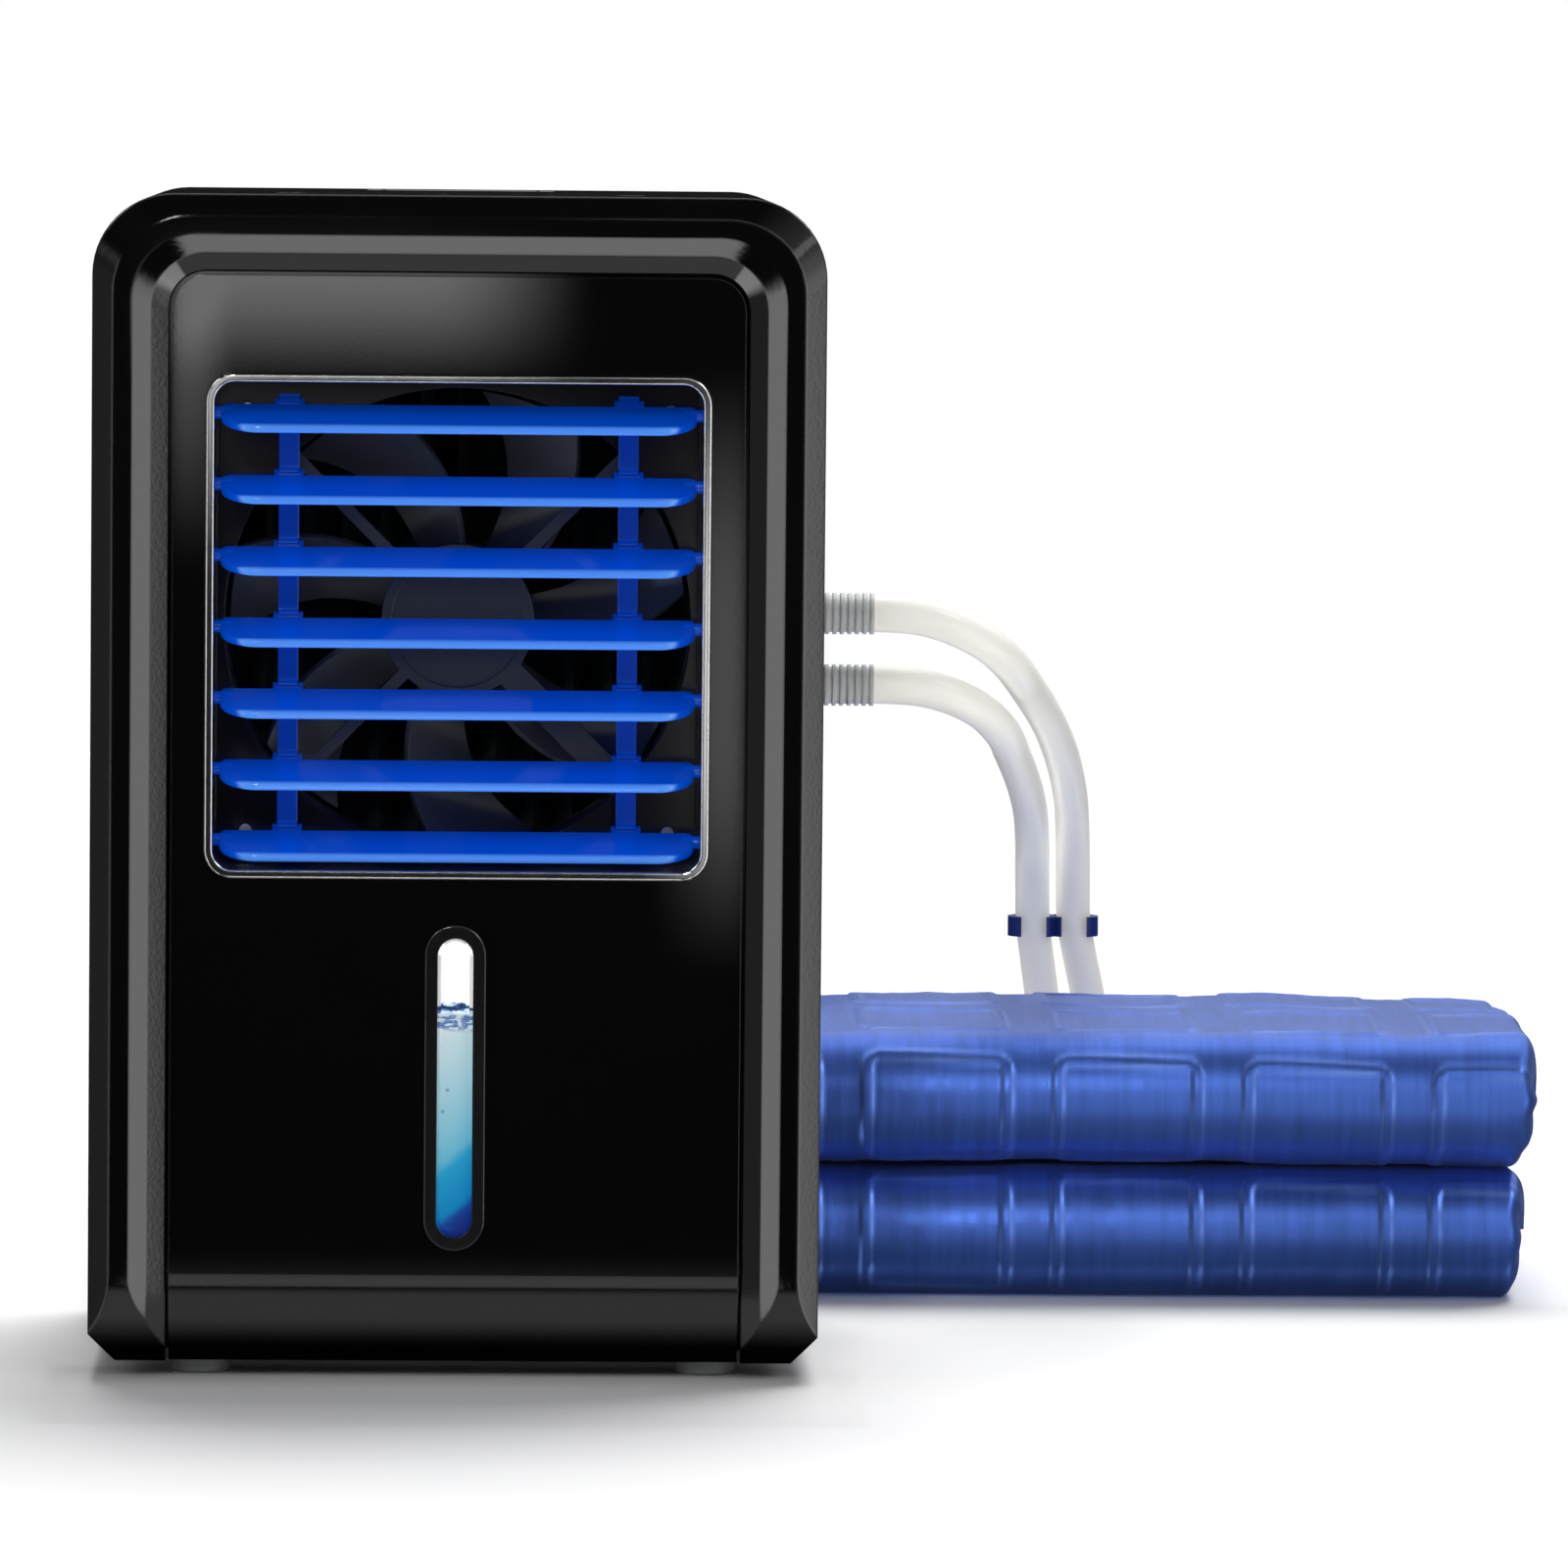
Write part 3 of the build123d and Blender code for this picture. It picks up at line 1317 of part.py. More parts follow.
# Rear intake: slotted grille, and the filter sheet held inside the lip
with BuildPart() as intake_grille:
    with BuildSketch(front_plane(host_depth)):
        with Locations((0, intake_height)):
            Rectangle(intake_width, intake_length)
            with GridLocations(0, intake_slot_pitch, 1, intake_slots):
                SlotOverall(intake_width - 2 * intake_lip, intake_slot, mode=Mode.SUBTRACT)
    extrude(amount=wall)
    with BuildSketch(front_plane(host_depth)):
        with Locations((0, intake_height)):
            with GridLocations(intake_width / (intake_bars + 1), 0, intake_bars, 1):
                Rectangle(intake_bar, intake_length - intake_lip)
    extrude(amount=wall)
finish(intake_grille, "intake_grille")

with BuildPart() as intake_filter:
    with BuildSketch(front_plane(host_depth - wall - intake_lip_thickness)):
        with Locations((0, intake_height)):
            Rectangle(intake_width, intake_length)
    extrude(amount=filter_thickness)
finish(intake_filter, "intake_filter")

with BuildPart() as dc_jack:
    with BuildSketch(front_plane(host_depth - wall)):
        with Locations((jack_x, jack_height)):
            Circle(jack_flange_radius)
    extrude(amount=jack_flange)
    with BuildSketch(front_plane(host_depth)):
        with Locations((jack_x, jack_height)):
            Circle(jack_radius)
    extrude(amount=jack_length)
    with BuildSketch(front_plane(host_depth)):
        with Locations((jack_x, jack_height)):
            Circle(jack_socket_radius)
    extrude(amount=jack_length - jack_flange, mode=Mode.SUBTRACT)
    with BuildSketch(front_plane(host_depth - jack_flange)):
        with Locations((jack_x, jack_height)):
            Circle(jack_pin_radius)
    extrude(amount=jack_length - 2 * jack_flange)
finish(dc_jack, "dc_jack")

with BuildPart() as feet:
    foot_rear_depth = host_depth - foot_rear_margin
    with BuildSketch(level_plane(0)):
        with Locations((-foot_spread, foot_front_depth), (foot_spread, foot_front_depth),
                       (-foot_spread, foot_rear_depth), (foot_spread, foot_rear_depth)):
            Circle(foot_radius)
    extrude(amount=foot_height)
    fillet(feet.edges().group_by(Axis.Z)[0], foot_round)
finish(feet, "feet")


# Folded pad: two rolls at the front, one fold at the back, both ends drawn in
port_height = hose_diameter / 2 + hose_diameter + hose_spacing
back_radius = (pad_back_bulge**2 + (pad_height / 2) ** 2) / (2 * pad_back_bulge)
port_drop = pad_height / 2 - port_height
port_root = pad_front_depth + pad_depth - back_radius + sqrt(back_radius**2 - port_drop**2)
port_end = pad_front_depth + pad_depth + port_length


def pad_section(across, inset):
    """Outline across the folded pad; x is the depth from its front, y is the height."""
    high = pad_height - inset
    fold = high / 2
    rear = pad_depth - inset
    bend = inset + pad_groove
    roll = inset + pad_roll
    plane = Plane(
        origin=(host_x + across, front_y + pad_front_depth, 0), x_dir=(0, 1, 0), z_dir=(1, 0, 0)
    )
    with BuildSketch(plane) as outline:
        with BuildLine():
            CenterArc((roll, pad_roll), pad_roll, 180, 90)
            TangentArc((inset, pad_roll), (bend, fold - pad_groove_gap / 2), tangent=(0, 1))
            Line((bend, fold - pad_groove_gap / 2), (bend, fold + pad_groove_gap / 2))
            TangentArc((inset, high - pad_roll), (bend, fold + pad_groove_gap / 2), tangent=(0, -1))
            CenterArc((roll, high - pad_roll), pad_roll, 90, 90)
            ThreePointArc((roll, high), ((roll + rear) / 2, high + pad_crown), (rear - pad_back_bulge, high))
            ThreePointArc((rear - pad_back_bulge, high), (rear, fold), (rear - pad_back_bulge, 0))
            Line((rear - pad_back_bulge, 0), (roll, 0))
        make_face()
    return outline.sketch


# Hose routes, as points from the host's middle, the frame's ridge and the floor
supply_route = [
    (connector_end, connector_depth, supply_height), (115.0, connector_depth, supply_height),
    (123.0, 119.3, 182.8), (130.7, 122.3, 179.8), (137.7, 127.6, 175.6), (143.4, 136.7, 170.4),
    (146.9, 150.8, 165.8), (149.8, 176.0, 162.2), (155.4, 206.0, 154.6), (160.8, 237.0, 145.7),
    (164.9, 263.0, 136.5), (167.3, 280.0, 129.0), (168.6, 291.6, 124.2), (169.4, 300.9, 119.6),
    (170.0, 307.3, 114.2), (170.5, 312.2, 107.3), (170.8, 316.0, 97.9), (170.9, 317.2, 89.5),
    (171.3, 317.3, 80.5), (172.2, 318.5, 66.0), (173.0, 321.0, 50.0), (173.3, 327.5, 33.0),
    (173.2, 336.0, 17.5), (173.1, 351.0, 8.0), (supply_coil_x, 369.0, hose_radius),
    (supply_coil_x, coil_start_depth - hose_diameter, hose_radius),
]
return_route = [
    (connector_end, connector_depth, return_height), (115.6, connector_depth, return_height),
    (123.9, 119.8, 164.4), (131.0, 123.6, 161.6), (137.0, 129.6, 157.7), (141.3, 138.8, 153.0),
    (143.8, 152.2, 148.8), (145.6, 176.0, 145.5), (149.5, 206.0, 138.6), (153.1, 237.0, 131.1),
    (155.8, 263.0, 123.8), (157.2, 281.0, 117.8), (158.0, 292.1, 113.8), (158.6, 300.7, 110.2),
    (159.0, 307.8, 104.6), (159.4, 313.1, 97.4), (159.7, 316.5, 89.0), (160.3, 317.5, 79.5),
    (160.7, 318.5, 66.0), (160.6, 321.0, 50.0), (159.8, 327.5, 33.0), (159.0, 336.0, 17.5),
    (158.4, 351.0, 8.0), (return_coil_x, 369.0, hose_radius),
    (return_coil_x, coil_start_depth - hose_diameter, hose_radius),
]


def hose_line(route, least):
    """Straight runs joined by tangent arcs, each as wide as its two runs allow."""
    points = [Vector(host_x + x, front_y + depth, z) for x, depth, z in route]
    radii = []
    for before, corner, after in zip(points, points[1:], points[2:]):
        run = min((corner - before).length, (after - corner).length)
        turn = radians((corner - before).get_angle(after - corner))
        radii.append(bend_share * run / tan(turn / 2))
    print(f"{least} bend radius {min(radii):.1f} mm")
    return FilletPolyline(*points, radius=radii)


def hose(route, name):
    """One stretch of hose along a route."""
    start = Vector(route[1]) - Vector(route[0])
    with BuildPart() as stretch:
        with BuildLine():
            centre = hose_line(route, name)
        with BuildSketch(Plane(origin=centre @ 0, z_dir=start)):
            Circle(hose_radius)
        sweep()
    expected = pi * hose_radius**2 * centre.length
    print(f"{name} length {centre.length:.0f} mm, volume share {stretch.part.volume / expected:.4f}")
    finish(stretch, name)


hose(supply_route, "supply_hose")
hose(return_route, "return_hose")


# Coils: in on the floor, up where the hose turns back, out on top
coil_pitch = hose_diameter + hose_spacing
coil_middle = coil_turns / 2
coil_inner_radius = coil_outer_radius - coil_pitch * coil_middle
start_lean = atan(coil_pitch / (2 * pi * coil_outer_radius))
coil_x = supply_coil_x + coil_outer_radius * cos(start_lean)
coil_depth = coil_start_depth + coil_outer_radius * sin(start_lean)


def coil_point(turns):
    """Place on the supply coil after this many turns, clockwise from its left side."""
    past = turns - coil_middle
    share = abs(past) if abs(past) > climb else past**2 / (2 * climb) + climb / 2
    reach = coil_inner_radius + coil_pitch * share
    rise = min(max((past + climb) / (2 * climb), 0), 1)
    angle = pi + start_lean - 2 * pi * turns
    return Vector(
        coil_x + reach * cos(angle),
        coil_depth + reach * sin(angle),
        hose_radius + coil_pitch * rise**2 * (3 - 2 * rise),
    )


def coil_heading(turns):
    """Direction of the hose at that place."""
    step = 1e-4
    return (coil_point(turns + step) - coil_point(turns - step)).normalized()


def mirrored(place):
    """The same place on the return side."""
    return Vector(supply_coil_x + return_coil_x - place.X, place.Y, place.Z)


def coil_line(places, headings):
    """Two tangent arcs between each pair of stops, with a straight lead at both ends."""
    Line(places[0] - headings[0] * hose_diameter, places[0])
    for here, there, leaving, arriving in zip(places, places[1:], headings, headings[1:]):
        span = there - here
        total = leaving + arriving
        spread = 2 * (1 - leaving.dot(arriving))
        reach = (-span.dot(total) + sqrt(span.dot(total) ** 2 + spread * span.dot(span))) / spread
        first = here + leaving * reach
        second = there - arriving * reach
        middle = (first + second) * 0.5
        TangentArc(here, middle, tangent=leaving)
        TangentArc(middle, there, tangent=second - first)
    Line(places[-1], places[-1] + headings[-1] * hose_diameter)


flat_stops = [place * (coil_middle - climb) / coil_flat_steps for place in range(coil_flat_steps)]
climb_stops = [coil_middle + climb * (place / 2 - 1) for place in range(5)]
coil_stops = flat_stops + climb_stops + [coil_turns - stop for stop in reversed(flat_stops)]
shift = Vector(host_x, front_y, 0)
tail_starts = []
for name, place_on in (("supply_hose_coil", Vector), ("return_hose_coil", mirrored)):
    spots = [place_on(coil_point(stop)) + shift for stop in coil_stops]
    ways = [
        place_on(coil_point(stop) + coil_heading(stop)) - place_on(coil_point(stop)) for stop in coil_stops
    ]
    with BuildPart() as coil:
        with BuildLine() as winding:
            coil_line(spots, ways)
        centre = winding.wires()[0]
        with BuildSketch(Plane(origin=spots[0] - ways[0] * hose_diameter, z_dir=ways[0])):
            Circle(hose_radius)
        sweep()
    samples = [centre @ (place / coil_samples) for place in range(coil_samples + 1)]
    apart = round(coil_samples / coil_turns / 2)
    least = min(
        (samples[one] - samples[other]).length
        for one in range(coil_samples)
        for other in range(one + apart, coil_samples + 1)
    )
    expected = pi * hose_radius**2 * centre.length
    print(f"{name} length {centre.length:.0f} mm, volume share {coil.part.volume / expected:.4f}, "
          f"least gap {least - hose_diameter:.2f} mm")
    finish(coil, name)
    tail_starts.append((spots[-1] + ways[-1] * hose_diameter - shift, ways[-1]))

port_places = []
for (start, way), name in zip(tail_starts, ("supply_hose_tail", "return_hose_tail")):
    corner = start + way * tail_run
    port_places.append((corner.X, port_height))
    hose([tuple(start), tuple(corner), (corner.X, port_end, corner.Z)], name)

with BuildPart() as hose_clip:
    with BuildSketch(level_plane(clip_height - clip_width / 2)):
        with Locations(supply_in_clip, return_in_clip):
            Circle(hose_radius + clip_gap + clip_wall)
        with Locations(supply_in_clip, return_in_clip):
            Circle(hose_radius + clip_gap, mode=Mode.SUBTRACT)
            with Locations((0, -hose_diameter / 2)):
                Rectangle(clip_mouth, hose_diameter, mode=Mode.SUBTRACT)
    extrude(amount=clip_width)
finish(hose_clip, "hose_clip")

with BuildPart() as cooling_pad:
    for side in (-1, 1):
        end = pad_left if side < 0 else pad_left + pad_width
        outer = pad_section(end, pad_end_inset)
        between = pad_section(end - side * pad_end_round, pad_end_inset * pad_end_share)
        inner = pad_section(end - side * pad_end_draw, 0)
        loft(sections=[outer, between], ruled=True)
        loft(sections=[between, inner], ruled=True)
    extrude(pad_section(pad_left + pad_end_draw, 0), amount=pad_width - 2 * pad_end_draw, dir=(1, 0, 0))
    with BuildSketch(front_plane(port_root)):
        with Locations(*port_places):
            Circle(port_radius)
    extrude(amount=port_socket, mode=Mode.SUBTRACT)
    with BuildSketch(front_plane(port_end)):
        with Locations(*port_places):
            Circle(port_radius)
    extrude(amount=port_end - port_root, mode=Mode.SUBTRACT)
finish(cooling_pad, "cooling_pad")

with BuildPart() as pad_ports:
    with BuildSketch(front_plane(port_root - port_socket)):
        with Locations(*port_places):
            Circle(port_radius)
    extrude(amount=port_root - port_socket - port_end)
    with BuildSketch(front_plane(port_end)):
        with Locations(*port_places):
            Circle(port_bore)
    extrude(amount=port_length, mode=Mode.SUBTRACT)
finish(pad_ports, "pad_ports")
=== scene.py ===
"""Water cooling mattress pad: finishes, hoses, folded pad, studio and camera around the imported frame."""

import math

import bmesh
import bpy
import numpy as np
from bpy.props import FloatProperty, FloatVectorProperty, IntProperty, PointerProperty
from mathutils import Euler, Matrix, Vector


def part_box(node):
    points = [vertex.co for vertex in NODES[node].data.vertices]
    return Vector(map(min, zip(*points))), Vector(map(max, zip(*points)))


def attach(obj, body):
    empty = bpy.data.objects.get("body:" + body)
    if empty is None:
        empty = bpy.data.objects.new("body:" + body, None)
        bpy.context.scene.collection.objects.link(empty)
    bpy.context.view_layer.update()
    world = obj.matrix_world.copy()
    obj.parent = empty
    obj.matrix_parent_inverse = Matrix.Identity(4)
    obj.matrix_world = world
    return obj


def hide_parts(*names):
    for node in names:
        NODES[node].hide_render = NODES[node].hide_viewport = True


bl_info = {
    "name": "Water cooling mattress pad",
    "version": (1, 0, 0),
    "blender": (4, 5, 0),
    "location": "3D View > Sidebar > Cooling Pad",
    "description": "Dresses the cooler, its hoses and its folded pad, and sets the studio",
    "category": "Object",
}

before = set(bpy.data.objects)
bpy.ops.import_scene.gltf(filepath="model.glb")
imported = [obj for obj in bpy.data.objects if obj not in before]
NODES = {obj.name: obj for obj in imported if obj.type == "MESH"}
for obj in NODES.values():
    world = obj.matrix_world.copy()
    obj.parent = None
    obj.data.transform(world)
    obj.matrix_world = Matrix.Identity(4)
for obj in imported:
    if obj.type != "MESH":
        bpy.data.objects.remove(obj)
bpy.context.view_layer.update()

SHELL_LOW, SHELL_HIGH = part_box("front_shell")
HOST_X = (SHELL_LOW[0] + SHELL_HIGH[0]) / 2
FRONT_Y = SHELL_LOW[1]
MM = 0.001


def place(across, depth, height):
    """A point in metres, from millimetres right of the host, behind its front and above the floor."""
    return HOST_X + across * MM, FRONT_Y + depth * MM, height * MM


# Shader maths

# sockets of the Mix node that carry its two colours and its result
MIX_FIRST, MIX_SECOND, MIX_RESULT = 6, 7, 2


class Value:
    """A number or colour that varies over a surface; Python's operators add Math nodes."""

    def __init__(self, graph, socket):
        self.graph = graph
        self.socket = socket

    def maths(self, operation, *numbers):
        """One Math node on one or two numbers."""
        return self.graph.node("ShaderNodeMath", {"operation": operation}, dict(enumerate(numbers)))

    def __add__(self, other):
        return self.maths("ADD", self, other)

    def __radd__(self, other):
        return self.maths("ADD", other, self)

    def __sub__(self, other):
        return self.maths("SUBTRACT", self, other)

    def __rsub__(self, other):
        return self.maths("SUBTRACT", other, self)

    def __mul__(self, other):
        return self.maths("MULTIPLY", self, other)

    def __rmul__(self, other):
        return self.maths("MULTIPLY", other, self)

    def __truediv__(self, other):
        return self.maths("DIVIDE", self, other)

    def __neg__(self):
        return self.maths("SUBTRACT", 0, self)

    def __abs__(self):
        return self.maths("ABSOLUTE", self)

    def clip(self):
        """Limited to 0 and 1."""
        return self.graph.node("ShaderNodeClamp", {}, {0: self})

    def between(self, low, high):
        """Rises smoothly from 0 at low to 1 at high."""
        return self.graph.node(
            "ShaderNodeMapRange", {"interpolation_type": "SMOOTHSTEP"}, {0: self, 1: low, 2: high}
        )

    def outside(self, low, high):
        """Falls smoothly from 1 at low to 0 at high."""
        return 1 - self.between(low, high)


class Graph:
    """The node tree of a new material, or of the world, built from expressions."""

    def __init__(self, name, world=None):
        self.material = None if world else bpy.data.materials.new(name)
        owner = world or self.material
        owner.use_nodes = True
        self.tree = owner.node_tree
        self.tree.nodes.clear()

    def node(self, kind, settings, inputs, output=0):
        """Adds a node: its settings first, then values or links for its sockets."""
        made = self.tree.nodes.new(kind)
        for key, value in settings.items():
            if key == "stops":
                stops = made.color_ramp.elements
                while len(stops) < len(value):
                    stops.new(0.5)
                for stop, (where, colour) in zip(stops, value):
                    stop.position = where
                    stop.color = (*colour, 1)
            else:
                setattr(made, key, value)
        for key, value in inputs.items():
            if isinstance(value, Value):
                self.tree.links.new(value.socket, made.inputs[key])
            else:
                made.inputs[key].default_value = value
        return Value(self, made.outputs[output]) if made.outputs else None

    def end(self, shader, kind="ShaderNodeOutputMaterial"):
        """Closes the tree with its output node and gives the material."""
        self.node(kind, {}, {"Surface": shader})
        return self.material

    def spot(self, output="Object"):
        """The coordinates that patterns are laid on."""
        return self.node("ShaderNodeTexCoord", {}, {}, output)

    def axis(self, vector, name):
        """One coordinate of a vector."""
        return self.node("ShaderNodeSeparateXYZ", {}, {0: vector}, name)

    def noise(self, vector, scale, detail=2.0, stretch=(1, 1, 1)):
        """Soft noise, stretched along the axes."""
        mapped = self.node("ShaderNodeMapping", {}, {"Vector": vector, "Scale": stretch})
        return self.node(
            "ShaderNodeTexNoise", {}, {"Vector": mapped, "Scale": scale, "Detail": detail}, "Fac"
        )

    def cells(self, vector, scale):
        """The distance to the nearest of many scattered points."""
        return self.node("ShaderNodeTexVoronoi", {}, {"Vector": vector, "Scale": scale}, "Distance")

    def mix(self, share, first, second):
        """A colour between two colours."""
        inputs = {0: share}
        for socket, colour in ((MIX_FIRST, first), (MIX_SECOND, second)):
            inputs[socket] = colour if isinstance(colour, Value) else (*colour[:3], 1)
        return self.node("ShaderNodeMix", {"data_type": "RGBA"}, inputs, MIX_RESULT)

    def bump(self, height, distance, strength=1.0, edge=0.0):
        """A normal from a height in metres times distance, with edges softened over a radius."""
        inputs = {"Height": height, "Distance": distance, "Strength": strength}
        if edge:
            inputs["Normal"] = self.node("ShaderNodeBevel", {"samples": 6}, {"Radius": edge})
        return self.node("ShaderNodeBump", {}, inputs)

    def surface(self, **inputs):
        """Ends the tree in one Principled surface and gives the material."""
        sockets = {}
        for key, value in inputs.items():
            name = key.replace("_", " ").title().replace("Ior", "IOR")
            if isinstance(value, tuple) and len(value) == 3 and name != "Subsurface Radius":
                value = (*value, 1)
            sockets[name] = value
        return self.end(self.node("ShaderNodeBsdfPrincipled", {}, sockets))


def linear(red, green, blue):
    """Linear light from the 0 to 255 values of a screen colour."""
    return tuple(
        (v / 255 / 12.92 if v <= 10 else ((v / 255 + 0.055) / 1.055) ** 2.4) for v in (red, green, blue)
    )


def shade(colour, share):
    """A colour made darker, or lighter up to full light."""
    return tuple(min(1.0, c * share) for c in colour)


def dress(material, *names):
    """Gives CAD nodes a finish."""
    for name in names:
        slots = NODES[name].data.materials
        slots.clear()
        slots.append(material)


# Finishes

def moulded(name, colour, rough, grain=0.05, grain_size=900.0, coat=0.0, edge=0.0005, **more):
    """Moulded plastic: fine orange-peel bump, slight changes of gloss and tone, and softened edges."""
    graph = Graph(name)
    spot = graph.spot()
    peel = graph.noise(spot, grain_size, 3.0)
    cloud = graph.noise(spot, 35.0, 4.0)
    return graph.surface(
        base_color=graph.mix(cloud, shade(colour, 0.85), shade(colour, 1.15)),
        roughness=rough * (0.8 + 0.4 * cloud), coat_weight=coat, coat_roughness=0.05,
        normal=graph.bump(peel, grain * MM, 0.3, edge), **more
    )


def metal(name, colour, rough, streak=(1, 1, 30), depth=0.00003):
    """Brushed or plated metal: fine streaks in gloss and height."""
    graph = Graph(name)
    streaks = graph.noise(graph.spot(), 400.0, 3.0, streak)
    return graph.surface(
        base_color=graph.mix(streaks, shade(colour, 0.8), colour), metallic=1.0,
        roughness=rough * (0.7 + 0.6 * streaks), normal=graph.bump(streaks, depth, 0.3, 0.0005),
    )


# Meshes

def piece(name, points, faces, material, uv=None):
    """A smooth mesh object at the origin, from arrays of points and faces."""
    mesh = bpy.data.meshes.new(name)
    mesh.from_pydata(points.tolist(), [], faces.tolist())
    mesh.update()
    if uv is not None:
        layer = mesh.uv_layers.new(name="UVMap")
        corners = np.empty(len(mesh.loops), dtype=np.int32)
        mesh.loops.foreach_get("vertex_index", corners)
        layer.data.foreach_set("uv", uv[corners].astype(np.float32).ravel())
    mesh.polygons.foreach_set("use_smooth", np.ones(len(mesh.polygons), dtype=bool))
    mesh.materials.append(material)
    made = bpy.data.objects.new(name, mesh)
    bpy.context.scene.collection.objects.link(made)
    return made


def grid_faces(rows, columns):
    """Quads of a grid whose columns close on themselves and whose rows don't."""
    row, column = np.meshgrid(np.arange(rows - 1), np.arange(columns), indexing="ij")
    after = row + 1
    beside = (column + 1) % columns
    return np.stack(
        [row * columns + column, row * columns + beside, after * columns + beside, after * columns + column],
        axis=-1,
    ).reshape(-1, 4)


def ramp(value, start, run):
    """Rises evenly from 0 at the start to 1 after the run."""
    return np.clip((value - start) / run, 0, 1)


def ease(share):
    """Smooth step: three times the square less twice the cube."""
    return share**2 * (3 - 2 * share)


def soft_noise(u, v, seed):
    """Smooth random heights from -1 to 1: a seeded grid of numbers, eased between its points."""
    size = 256
    numbers = np.random.default_rng(seed).uniform(-1, 1, (size, size))
    low_u, low_v = np.floor(u).astype(int), np.floor(v).astype(int)
    ease_u, ease_v = ease(u - low_u), ease(v - low_v)
    a = numbers[low_u % size, low_v % size]
    b = numbers[(low_u + 1) % size, low_v % size]
    c = numbers[low_u % size, (low_v + 1) % size]
    d = numbers[(low_u + 1) % size, (low_v + 1) % size]
    return (a * (1 - ease_u) + b * ease_u) * (1 - ease_v) + (c * (1 - ease_u) + d * ease_u) * ease_v


# What a user may change

class CoolerSettings(bpy.types.PropertyGroup):
    """Colours and gloss of the host."""

    shell_gloss: FloatProperty(
        name="Shell roughness", description="Roughness of the black shell", default=0.08, min=0, max=1)
    blade_colour: FloatVectorProperty(
        name="Blade colour", description="Blue of the louvre blades", subtype="COLOR", size=3,
        default=linear(0, 76, 206))
    water_colour: FloatVectorProperty(
        name="Water colour", description="Blue of the deep water", subtype="COLOR", size=3,
        default=linear(2, 142, 210))


class HoseSettings(bpy.types.PropertyGroup):
    """Size and colour of the hoses."""

    diameter: FloatProperty(
        name="Diameter", description="Outer diameter of the hose", default=0.0095, unit="LENGTH",
        min=0.004, max=0.02)
    colour: FloatVectorProperty(
        name="Colour", description="Milky colour of the hose", subtype="COLOR", size=3,
        default=linear(230, 230, 226))


class PadSettings(bpy.types.PropertyGroup):
    """Cloth colour and relief of the pad."""

    colour: FloatVectorProperty(
        name="Colour", description="Blue of the satin cloth", subtype="COLOR", size=3,
        default=linear(76, 115, 214))
    cell_pitch: FloatProperty(
        name="Cell pitch", description="Spacing of the welded cells along the pad", default=0.0503,
        unit="LENGTH", min=0.03, max=0.08)
    ridge_height: FloatProperty(
        name="Channel height", description="How far a channel stands up", default=0.0006,
        unit="LENGTH", min=0, max=0.003)
    columns: IntProperty(
        name="Points along", description="Points along the pad", default=520, min=40, max=800)


class StudioSettings(bpy.types.PropertyGroup):
    """Camera of the studio."""

    distance: FloatProperty(
        name="Camera distance", description="From the camera to the host's front", default=2.5,
        unit="LENGTH", min=1, max=6)
    lens: FloatProperty(
        name="Lens", description="Focal length in millimetres", default=234.4, min=35, max=400)


# Host

class SCENE_OT_cooler_shell(bpy.types.Operator):
    """Gives the casing, panel, frame and small hardware their finishes"""

    bl_idname = "scene.cooler_shell"
    bl_label = "Casing"

    def execute(self, context):
        gloss = context.scene.cooler.shell_gloss
        shell = moulded("shell_black", linear(4, 4, 5), gloss, coat=0.6, edge=0.001, specular_ior_level=0.6)
        dress(shell, "front_shell", "rear_shell", "filler_lid")
        panel = moulded("panel_black", linear(3, 3, 4), gloss, grain=0.02, coat=0.5, specular_ior_level=0.6)
        dress(panel, "front_panel")
        dress(moulded("grille_black", linear(14, 14, 16), 0.4, grain=0.12), "intake_grille", "dc_jack")
        dress(moulded("cap_grey", linear(40, 41, 44), 0.3), "power_button", "fan_button", "timer_button")
        dress(moulded("clear_rubber", linear(176, 178, 180), 0.3, transmission_weight=0.4, ior=1.42), "feet")
        dress(metal("plain_steel", (0.6, 0.6, 0.61), 0.3), "housing_screws", "fan_screws", "fan_shaft",
              "pump_shaft", "filler_hinge_pin")
        dress(metal("sleeve_bronze", (0.55, 0.4, 0.2), 0.4), "fan_bearing")
        milky = moulded("milky_plastic", linear(222, 226, 228), 0.35, subsurface_weight=0.15,
                        subsurface_radius=(0.01, 0.01, 0.01))
        dress(milky, "water_tank", "tank_lid", "drip_tray", "filler_funnel")
        dress(moulded("pump_black", linear(26, 27, 29), 0.4), "pump_housing", "pump_cover", "wick_frame")
        dress(moulded("board_green", linear(14, 74, 42), 0.45), "control_board")
        dress(moulded("switch_black", linear(22, 22, 24), 0.5), "button_switches")

        foam = Graph("filter_foam")
        cells = foam.cells(foam.spot(), 700.0)
        dress(foam.surface(base_color=foam.mix(cells, linear(12, 12, 13), linear(52, 52, 56)),
                           roughness=0.9, normal=foam.bump(cells, 0.0008)), "intake_filter")
        wick = Graph("wick_paper")
        fibre = wick.noise(wick.spot(), 500.0, 4.0, (1, 1, 0.15))
        dress(wick.surface(base_color=wick.mix(fibre, linear(14, 30, 24), linear(34, 62, 50)),
                           roughness=0.85, normal=wick.bump(fibre, 0.0003)), "cooling_wick")
        return {"FINISHED"}


# metres behind the front: where the painted highlight on a blade's round front ends, and over which painted
# shade darkens the blade to its back
NOSE_HIGHLIGHT_DEPTHS = 0.0095, 0.0108
BACK_SHADE_DEPTHS = 0.012, 0.030
# metres from the middle of the outlet over which the painted highlight on the blade fronts grows brighter
END_HIGHLIGHT_REACH = 0.046, 0.058


